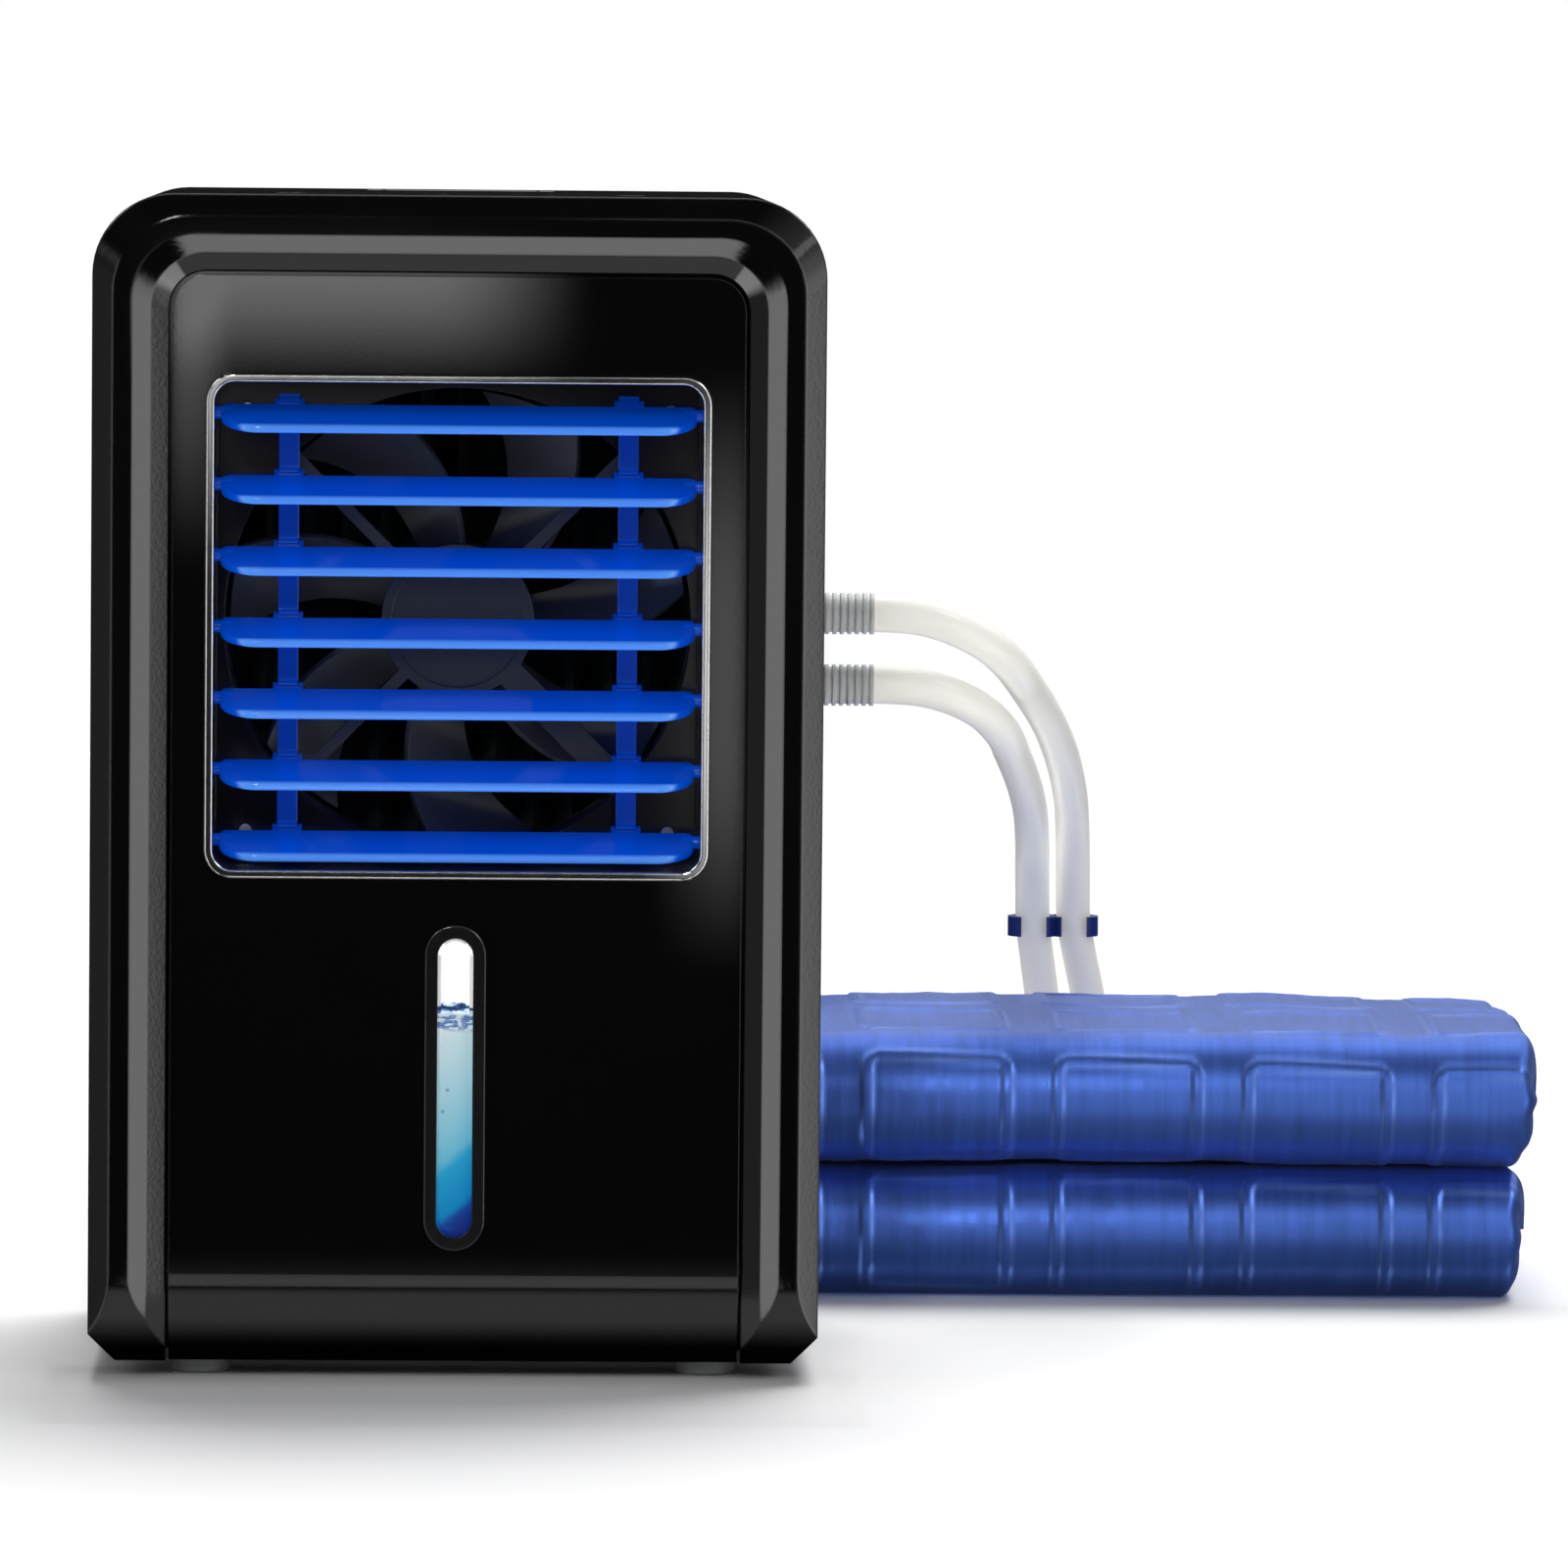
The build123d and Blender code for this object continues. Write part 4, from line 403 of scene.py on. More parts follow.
class SCENE_OT_cooler_louvre(bpy.types.Operator):
    """Gives the air outlet, its blades and link bars their finishes"""

    bl_idname = "scene.cooler_louvre"
    bl_label = "Louvre"

    def execute(self, context):
        blue = tuple(context.scene.cooler.blade_colour)
        graph = Graph("blade_blue")
        spot = graph.spot()
        peel = graph.noise(spot, 900.0, 3.0)
        depth = graph.axis(spot, "Y") - FRONT_Y
        # painted highlight along each blade's round front, brighter towards the outlet's ends
        nose_highlight = depth.outside(*NOSE_HIGHLIGHT_DEPTHS)
        ends = abs(graph.axis(spot, "X") - HOST_X).between(*END_HIGHLIGHT_REACH)
        # painted shade: the blades grow darker towards their backs, deep inside the outlet
        tone = graph.mix(depth.between(*BACK_SHADE_DEPTHS) * 0.8, blue, shade(blue, 0.45))
        tone = graph.mix((nose_highlight * 0.5 + nose_highlight * ends * 0.3).clip(), tone, linear(90, 160, 245))
        # painted light: the blades, link bars and impeller glow by emission in their own colour
        blade = graph.surface(
            base_color=tone, roughness=0.14 + 0.08 * peel, coat_weight=0.3, coat_roughness=0.05,
            emission_color=tone, emission_strength=0.4, normal=graph.bump(peel, 0.00003, 0.3, 0.0006),
        )
        dress(blade, *[f"louvre_blade_{number}" for number in range(1, 8)],
              "louvre_link_left", "louvre_link_right", "pump_impeller")
        dress(moulded("duct_grey", linear(34, 32, 32), 0.25, coat=0.3), "louvre_frame")
        dress(metal("trim_bright", (0.86, 0.87, 0.88), 0.12, (1, 1, 1), 0.000005), "louvre_bezel")
        return {"FINISHED"}


class SCENE_OT_cooler_fan(bpy.types.Operator):
    """Gives the fan its satin finish"""

    bl_idname = "scene.cooler_fan"
    bl_label = "Fan"

    def execute(self, context):
        dress(moulded("fan_black", linear(80, 83, 80), 0.34, grain=0.2, grain_size=2200.0), "fan_rotor")
        dress(moulded("fan_frame_black", linear(76, 78, 75), 0.36, grain=0.1), "fan_frame")
        return {"FINISHED"}


WINDOW_HALF_WIDTH = 0.0045
# the water's colour from the foot of the window, 0, to its surface, 1; the user's blue comes second
WATER_FOOT = [(0.0, linear(18, 44, 142)), (0.07, linear(8, 76, 172))]
WATER_BODY = [
    (0.31, linear(34, 170, 222)), (0.37, linear(112, 200, 229)), (0.56, linear(158, 215, 234)),
    (0.8, linear(196, 230, 240)), (1.0, linear(226, 241, 246)),
]


class SCENE_OT_cooler_gauge(bpy.types.Operator):
    """Fills the level window: ring, clear lens and blue water"""

    bl_idname = "scene.cooler_gauge"
    bl_label = "Level window"

    def execute(self, context):
        dress(moulded("ring_black", linear(16, 16, 18), 0.22, coat=0.5), "gauge_bezel")
        lens = Graph("lens_clear")
        smear = lens.noise(lens.spot(), 60.0, 3.0)
        dress(lens.surface(base_color=(0.08, 0.09, 0.1), roughness=0.04 + 0.04 * smear, alpha=0.06,
                           coat_weight=0.4, coat_roughness=0.02), "gauge_lens")

        # the clear chamber shows the water behind its wall, so both share one finish
        water = Graph("water_blue")
        low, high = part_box("gauge_water")
        spot = water.spot()
        across = (water.axis(spot, "X") - HOST_X) / WINDOW_HALF_WIDTH
        level = (water.axis(spot, "Z") - low[2]) / (high[2] - low[2])
        sway = water.noise(spot, 210.0, 3.0, (1, 0, 1.4))
        ripple = water.noise(spot, 420.0, 3.0, (1, 0, 2.2))
        deep = (0.11, tuple(context.scene.cooler.water_colour))
        tone = water.node("ShaderNodeValToRGB", {"stops": [*WATER_FOOT, deep, *WATER_BODY]},
                          {0: level - 0.075 * across + (sway - 0.5) * 0.04})
        # dark swirls under the surface and at the foot
        swirl = level.between(0.91, 0.95) * ripple.between(0.45, 0.51)
        swirl = (swirl + level.outside(0.05, 0.1) * ripple.between(0.55, 0.6) * 0.5).clip()
        tone = water.mix(swirl * 0.85, tone, linear(40, 98, 182))
        # a dark line along the wavy surface, bubbles below it and white air above
        crest = level - 1.02 - (sway - 0.5) * 0.12
        tone = water.mix(abs(crest).outside(0.002, 0.014), tone, linear(30, 52, 96))
        bubble = water.cells(spot, 260.0).outside(0.10, 0.16)
        bubble = bubble * level.between(0.5, 0.55) * level.outside(0.8, 0.85)
        tone = water.mix(bubble * 0.5, tone, linear(70, 120, 150))
        tone = water.mix(crest.between(0.01, 0.02), tone, linear(252, 252, 252))
        # painted light: the water and the chamber above it glow by emission
        dress(water.surface(base_color=tone, roughness=0.1, emission_color=tone, emission_strength=0.36),
              "gauge_water", "gauge_chamber")
        return {"FINISHED"}


# Hoses: routes from the connectors to the coils, in millimetres as place() takes them
SUPPLY_ROUTE = [
    (106.8, 118.0, 184.4), (115.0, 118.0, 184.4), (123.0, 119.3, 182.8), (130.7, 122.3, 179.8),
    (137.7, 127.6, 175.6), (143.4, 136.7, 170.4), (146.9, 150.8, 165.8), (149.8, 176.0, 162.2),
    (155.4, 206.0, 154.6), (160.8, 237.0, 145.7), (164.9, 263.0, 136.5), (167.3, 280.0, 129.0),
    (168.6, 291.6, 124.2), (169.4, 300.9, 119.6), (170.0, 307.3, 114.2), (170.5, 312.2, 107.3),
    (170.8, 316.0, 97.9), (171.0, 317.2, 89.5), (172.7, 317.3, 80.5), (176.0, 318.5, 66.0),
    (177.4, 321.0, 50.0), (176.6, 327.5, 33.0), (174.8, 336.0, 17.5), (173.1, 351.0, 8.0),
    (173.0, 369.0, 4.75), (173.0, 390.5, 4.75),
]
RETURN_ROUTE = [
    (106.8, 118.0, 166.0), (115.6, 118.0, 166.0), (123.9, 119.8, 164.4), (131.0, 123.6, 161.6),
    (137.0, 129.6, 157.7), (141.3, 138.8, 153.0), (143.8, 152.2, 148.8), (145.6, 176.0, 145.5),
    (149.5, 206.0, 138.6), (153.1, 237.0, 131.1), (155.8, 263.0, 123.8), (157.2, 281.0, 117.8),
    (158.0, 292.1, 113.8), (158.6, 300.7, 110.2), (159.0, 307.8, 104.6), (159.4, 313.1, 97.4),
    (159.7, 316.5, 89.0), (161.0, 317.5, 79.5), (163.0, 318.5, 66.0), (163.4, 321.0, 50.0),
    (161.8, 327.5, 33.0), (159.8, 336.0, 17.5), (158.4, 351.0, 8.0), (158.0, 369.0, 4.75),
    (158.0, 390.5, 4.75),
]
REST_HEIGHT = 4.75
COIL_TURNS = 3.583
COIL_POINTS = 61
COIL_RADIUS = 57.0
COIL_PITCH = 10.2
COIL_CLIMB = 0.25
COIL_START = (173.0, 400.0)
RETURN_START = 158.0
COIL_LEAD = 9.5
TAIL_RUN = 22.0
PORT_DEPTH = 322.0


def coil_points(turns):
    """The put-away coil: a spiral in on the floor and out on top of itself, climbing in between.

    The radius grows by one pitch for each turn away from the middle, with the sharp turn there rounded
    off, and the height rises by one pitch with the smooth step of the turns around the middle.
    """
    middle = COIL_TURNS / 2
    inner = COIL_RADIUS - COIL_PITCH * middle
    lean = math.atan(COIL_PITCH / (2 * math.pi * COIL_RADIUS))
    past = turns - middle
    share = np.where(np.abs(past) > COIL_CLIMB, np.abs(past), past**2 / (2 * COIL_CLIMB) + COIL_CLIMB / 2)
    reach = inner + COIL_PITCH * share
    rise = ramp(past, -COIL_CLIMB, 2 * COIL_CLIMB)
    angle = math.pi + lean - 2 * math.pi * turns
    across = COIL_START[0] + COIL_RADIUS * math.cos(lean) + reach * np.cos(angle)
    depth = COIL_START[1] + COIL_RADIUS * math.sin(lean) + reach * np.sin(angle)
    return np.stack([across, depth, REST_HEIGHT + COIL_PITCH * ease(rise)], axis=1)


def hose_points(route, mirrored):
    """The whole route: from the connector to the floor, round the coil and into the pad's port."""
    coil = coil_points(np.linspace(0, COIL_TURNS, COIL_POINTS))
    leaving = coil_points(np.array([COIL_TURNS - 1e-4, COIL_TURNS]))
    way = (leaving[1] - leaving[0]) / np.linalg.norm(leaving[1] - leaving[0])
    corner = coil[-1] + way * (COIL_LEAD + TAIL_RUN)
    port = np.array([corner[0], PORT_DEPTH, corner[2]])
    rest = np.vstack([coil, coil[-1] + way * COIL_LEAD, corner, port])
    if mirrored:
        rest[:, 0] = COIL_START[0] + RETURN_START - rest[:, 0]
    return np.vstack([np.array(route), rest])


class SCENE_OT_cooler_hoses(bpy.types.Operator):
    """Makes the two soft hoses and gives the connectors and the hose clip their finishes"""

    bl_idname = "scene.cooler_hoses"
    bl_label = "Hoses"

    def milky(self, colour):
        """Translucent soft plastic, cloudy and slightly matt, with a faint warm glow by emission that is
        painted light.
        """
        graph = Graph("hose_milky")
        spot = graph.spot()
        cloud = graph.noise(spot, 25.0, 3.0)
        fine = graph.noise(spot, 800.0, 2.0)
        return graph.surface(
            base_color=graph.mix(cloud, shade(colour, 0.93), colour),
            roughness=0.28 + 0.12 * fine, coat_weight=0.2, coat_roughness=0.15,
            subsurface_weight=0.35, subsurface_radius=(0.004, 0.004, 0.004), subsurface_scale=1.0,
            # painted light: a faint warm glow by emission stands in for light passing through the plastic
            emission_color=(0.9, 0.86, 0.76), emission_strength=0.28,
            normal=graph.bump(fine, 0.00004, 0.3),
        )

    def line(self, name, points, diameter, material):
        """A round curve of the second degree through the route's control points."""
        curve = bpy.data.curves.new(name, "CURVE")
        curve.dimensions = "3D"
        curve.bevel_depth = diameter / 2
        curve.bevel_resolution = 6
        curve.resolution_u = 6
        curve.use_fill_caps = True
        spline = curve.splines.new("NURBS")
        spline.points.add(len(points) - 1)
        spots = np.array([(*place(*point), 1.0) for point in points], dtype=np.float32)
        spline.points.foreach_set("co", spots.ravel())
        spline.order_u = 3
        spline.use_endpoint_u = True
        curve.materials.append(material)
        made = bpy.data.objects.new(name, curve)
        bpy.context.scene.collection.objects.link(made)
        return made

    def execute(self, context):
        settings = context.scene.hoses
        milky = self.milky(tuple(settings.colour))
        for name, route, mirrored in (("supply", SUPPLY_ROUTE, False), ("return", RETURN_ROUTE, True)):
            hose = self.line(f"{name}_hose_line", hose_points(route, mirrored), settings.diameter, milky)
            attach(hose, "host")
            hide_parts(f"{name}_hose", f"{name}_hose_coil", f"{name}_hose_tail")
        ribbed = moulded("connector_clear", linear(224, 226, 227), 0.3, transmission_weight=0.1, ior=1.45)
        dress(ribbed, "supply_barb", "return_barb", "barb_nuts", "supply_tube", "return_tube", "pad_ports")
        dress(moulded("clip_blue", linear(22, 48, 128), 0.3), "hose_clip")
        return {"FINISHED"}


# Folded pad, in millimetres: its ends right of the host, its front behind the host's front
PAD_LEFT = -70.0
PAD_RIGHT = 286.0
PAD_FRONT = 177.0
# section: radius of the two noses, top of the upper one, top of the fold behind, and the slit between
LOBE = 17.15
NOSE_TOP = 70.0
FOLD_TOP = 72.0
FOLD_START = 100.0
FOLD_REACH = 30.0
SLIT_DEPTH = 103.0
SLIT_HEIGHT = 35.0
SLIT_GAP = 0.7
SLIT_RUN = SLIT_DEPTH - LOBE
TOP_CROWN = 1.2
# the middle line that the ends shrink to runs on this ellipse inside the fold
CORE_REACH = 15.0
CORE_RISE = 17.85
# points of the section, and those along each rounded end
OUTLINE_POINTS = 310
END_POINTS = 13
# rounding of the ends, with the least share of the section that they shrink to
END_ROUNDING = 5.0
END_LEAST = 0.05
# right end: how far in it is uneven, how far it draws back, how much further its upper layer reaches
# than the lower, how far that layer droops, and the ramps of height and depth over which it does
END_UNEVEN = 45.0
END_BACK = 3.0
UPPER_REACH = 3.6
UPPER_DROOP = 1.5
UPPER_HEIGHTS = 30.0, 10.0
DROOP_DEPTHS = 40.0, 60.0
# the relief starts this far above the floor and is whole after that much more; little is in the slit
RELIEF_HEIGHTS = 0.4, 3.0
SLIT_SHARE = 0.1
LEAST_HEIGHT = 0.15
# wrinkles: height, size across and along, shift along and seed of each layer of soft noise
WRINKLES = [
    (0.07, 2.3, 38.0, 9, 3), (0.16, 6.5, 45.0, 0, 5), (0.6, 31.0, 40.0, 0, 8), (0.1, 9.0, 14.0, 0, 11),
]

# welded cells: the first one's left side, half a cell's width, its corner radius and its channel
CELL_START = 107.0
CELL_HALF = 20.3
CELL_CORNER = 5.5
CHANNEL_WIDTH = 3.7
CHANNEL_EDGE = 0.8
# the two lines along the welds: how far in from a cell's edge they run and how wide they are; the satin
# paints them paler as a highlight
WELD_LINES = 0.4, 3.3
WELD_WIDTH = 0.7
CELL_SKEW = 0.028
# the rows of cells, as lengths along the outline from the upper lip, and the last from the lower lip
CELL_ROWS = [(5.0, 42.0), (54.5, 93.0), (104.0, 143.0), (154.0, 193.0), (204.0, 243.0), (254.0, 293.0)]
LAST_ROW = 47.0, 7.0


def pad_outline(count):
    """Section of the folded pad as a C: two round noses in front, one fold at the back, a slit between.

    Arcs and straight runs follow one another, the top one crowned by half a sine, and points are laid on
    them by even steps of length, with fewer in the slit. Gives depth, height, the outward direction,
    the point of the middle line behind each, its length along the outline and the whole length.
    """
    parts = []

    def arc(centre, radii, start, end, steps):
        turn = np.radians(np.linspace(start, end, steps))
        parts.append(np.stack([centre[0] + radii[0] * np.cos(turn), centre[1] + radii[1] * np.sin(turn)], 1))

    def run(start, end, steps, lift=0.0):
        share = np.linspace(0, 1, steps)[:, None]
        line = np.array(start) * (1 - share) + np.array(end) * share
        line[:, 1] += lift * np.sin(np.pi * share[:, 0])
        parts.append(line)

    arc((LOBE, NOSE_TOP - LOBE), (LOBE, LOBE), 270, 90, 120)
    run((LOBE, NOSE_TOP), (FOLD_START, FOLD_TOP), 160, TOP_CROWN)
    arc((FOLD_START, FOLD_TOP / 2), (FOLD_REACH, FOLD_TOP / 2), 90, -90, 160)
    run((FOLD_START, 0), (LOBE, 0), 160)
    arc((LOBE, LOBE), (LOBE, LOBE), 270, 90, 120)
    run((LOBE, 2 * LOBE), (SLIT_DEPTH, SLIT_HEIGHT - SLIT_GAP / 2), 120)
    run((SLIT_DEPTH, SLIT_HEIGHT + SLIT_GAP / 2), (LOBE, NOSE_TOP - 2 * LOBE), 120)
    line = np.vstack(parts)
    line = line[np.r_[True, np.linalg.norm(np.diff(line, axis=0), axis=1) > 1e-6]]
    closed = np.vstack([line, line[:1]])
    length = np.r_[0, np.cumsum(np.linalg.norm(np.diff(closed, axis=0), axis=1))]
    shown = length[-1] - 2 * SLIT_RUN
    hidden_count = count // 5
    along = np.r_[np.linspace(0, shown, count - hidden_count, endpoint=False),
                  np.linspace(shown, length[-1], hidden_count, endpoint=False)]
    depth = np.interp(along, length, closed[:, 0])
    height = np.interp(along, length, closed[:, 1])
    ahead = np.stack([np.roll(depth, -1) - np.roll(depth, 1), np.roll(height, -1) - np.roll(height, 1)], 1)
    ahead /= np.linalg.norm(ahead, axis=1)[:, None]
    outward = np.stack([-ahead[:, 1], ahead[:, 0]], 1)
    in_fold = depth > FOLD_START
    turn = np.arctan2(height - SLIT_HEIGHT, np.maximum(depth - FOLD_START, 1e-6))
    middle_depth = np.where(in_fold, FOLD_START + CORE_REACH * np.cos(turn), np.clip(depth, LOBE, FOLD_START))
    middle_height = np.where(in_fold, SLIT_HEIGHT + CORE_RISE * np.sin(turn),
                             np.where(height > SLIT_HEIGHT, NOSE_TOP - LOBE, LOBE))
    return depth, height, outward, np.stack([middle_depth, middle_height], 1), along, length[-1]


def cell_relief(across, along, total, pitch):
    """Welded channels: a raised band between two rounded rectangles, one cell after the other.

    The distance to a rounded rectangle is taken from its centre, and the band stands where that
    distance is between nothing and the band's width inside it. Gives the height and the mask of the two lines
    along the welds, which the satin paints paler as a highlight.
    """
    lower_lip = total - 2 * SLIT_RUN
    rows = [*CELL_ROWS, tuple(lower_lip - back for back in LAST_ROW)]
    along = along + (across - CELL_START) * CELL_SKEW
    column = (across - CELL_START) / pitch
    local = (column - np.floor(column)) * pitch - CELL_HALF
    ridge = np.zeros_like(across + along)
    line = np.zeros_like(ridge)
    for low, high in rows:
        from_side = np.abs(local) - (CELL_HALF - CELL_CORNER)
        from_end = np.abs(along - (low + high) / 2) - ((high - low) / 2 - CELL_CORNER)
        outside = np.hypot(np.maximum(from_side, 0), np.maximum(from_end, 0))
        inward = CELL_CORNER - outside - np.minimum(np.maximum(from_side, from_end), 0)
        band = ease(ramp(inward, 0, CHANNEL_EDGE)) * ease(ramp(CHANNEL_WIDTH - inward, 0, CHANNEL_EDGE))
        ridge = np.maximum(ridge, band)
        to_line = np.minimum(*(np.abs(inward - weld) for weld in WELD_LINES))
        line = np.maximum(line, 1 - to_line / WELD_WIDTH)
    return ridge, line


class SCENE_OT_cooler_pad(bpy.types.Operator):
    """Makes the folded pad with its welded cells"""

    bl_idname = "scene.cooler_pad"
    bl_label = "Pad"

    def satin(self, colour):
        """Shiny woven cloth: crossed threads, streaks along the weave and a painted highlight that makes the
        lines along the welds paler.
        """
        graph = Graph("pad_satin")
        cloth = graph.spot("UV")
        weld = graph.node("ShaderNodeAttribute", {"attribute_name": "weld"}, {}, "Fac")
        thread = graph.noise(cloth, 2600.0, 2.0, (1, 0.08, 1))
        cross = graph.noise(cloth, 2600.0, 2.0, (0.12, 1, 1))
        streak = graph.noise(cloth, 420.0, 3.0, (1, 0.07, 1))
        cloud = graph.noise(cloth, 18.0, 3.0)
        tone = graph.mix((0.5 * streak + 0.5 * cloud).between(0.3, 0.7), shade(colour, 0.7), colour)
        # painted highlight: the lines along the welds made paler, as if their raised edges caught the light
        tone = graph.mix(weld * 0.3, tone, linear(140, 172, 236))
        return graph.surface(
            base_color=tone, metallic=0.7, roughness=0.33 + 0.1 * thread, sheen_weight=0.1,
            sheen_roughness=0.4, sheen_tint=(0.7, 0.8, 1.0), specular_ior_level=0.5,
            normal=graph.bump(0.5 * thread + 0.5 * cross + 0.7 * streak, 0.0001, 0.6),
        )

    def shape(self, settings):
        """Points of the pad, lengths over the cloth and the mask of the painted highlight along its welds, on
        a grid of across and along.

        The section is carried from end to end. It shrinks to its middle line in a rounded end, and
        channels and four sizes of soft noise lift it along its outward direction, but not on the floor.
        """
        depth, height, outward, middle, along, total = pad_outline(OUTLINE_POINTS)
        quarter = np.linspace(0, 1, END_POINTS)[1:] * np.pi / 2
        across = np.r_[PAD_LEFT + END_ROUNDING - END_ROUNDING * np.sin(quarter[::-1]),
                       np.linspace(PAD_LEFT + END_ROUNDING, PAD_RIGHT - END_ROUNDING, settings.columns),
                       PAD_RIGHT - END_ROUNDING + END_ROUNDING * np.sin(quarter)]
        ends = np.cos(quarter) ** 0.5
        thick = np.maximum(np.r_[ends[::-1], np.ones(settings.columns), ends], END_LEAST)[:, None]
        x, s = np.meshgrid(across, along, indexing="ij")
        full = np.stack([depth, height], 1)[None]
        section = middle[None] + (full - middle[None]) * thick[..., None]

        ridge, line = cell_relief(x, s, total, settings.cell_pitch / MM)
        off_floor = ramp(height[None], *RELIEF_HEIGHTS)
        in_slit = (along > total - 2 * SLIT_RUN)[None]
        wrinkle = sum(tall * soft_noise(x / wide, s / long + shift, seed)
                      for tall, wide, long, shift, seed in WRINKLES)
        lift = (settings.ridge_height / MM * ridge + wrinkle) * off_floor
        lift = lift * np.where(in_slit, SLIT_SHARE, 1.0)
        section = section + outward[None] * lift[..., None] * thick[..., None]

        # right end: the upper layer reaches a little further than the lower one, and both are uneven
        near = ramp(x, PAD_RIGHT - END_UNEVEN, END_UNEVEN) ** 2
        upper = ramp(height[None], *UPPER_HEIGHTS)
        ragged = (1.6 * soft_noise(s / 16 + 3, np.full_like(s, 0.5), 21)
                  + 1.2 * soft_noise(s / 7, np.full_like(s, 2.5), 22))
        x = x + near * (ragged - END_BACK + UPPER_REACH * upper)
        droop = near * ramp(depth[None], *DROOP_DEPTHS) * upper * UPPER_DROOP
        points = np.stack([
            HOST_X + x * MM,
            FRONT_Y + (PAD_FRONT + section[..., 0]) * MM,
            np.maximum(section[..., 1] - droop, LEAST_HEIGHT) * MM,
        ], axis=-1).reshape(-1, 3)
        uv = np.stack([x.ravel() * MM, s.ravel() * MM], 1)
        return points, grid_faces(len(across), len(along)), uv, line * off_floor

    def execute(self, context):
        settings = context.scene.pad
        points, faces, uv, weld = self.shape(settings)
        pad = piece("folded_pad", points, faces, self.satin(tuple(settings.colour)), uv)
        attribute = pad.data.attributes.new("weld", "FLOAT", "POINT")
        attribute.data.foreach_set("value", weld.astype(np.float32).ravel())
        mesh = bmesh.new()
        mesh.from_mesh(pad.data)
        bmesh.ops.holes_fill(mesh, edges=mesh.edges, sides=0)
        bmesh.ops.recalc_face_normals(mesh, faces=mesh.faces)
        mesh.to_mesh(pad.data)
        mesh.free()
        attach(pad, "host")
        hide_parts("cooling_pad")
        return {"FINISHED"}


# Studio: the camera's height, its turns in degrees, and the floor's reach around the object
CAMERA_HEIGHT = 0.320
CAMERA_DOWN, CAMERA_RIGHT, CAMERA_ROLL = 3.9225, 1.840, 0.53
FLOOR_X = -1.6, 1.8
FLOOR_Y = FRONT_Y - 0.34, 2.2
WHITE = (1, 1, 1, 1)


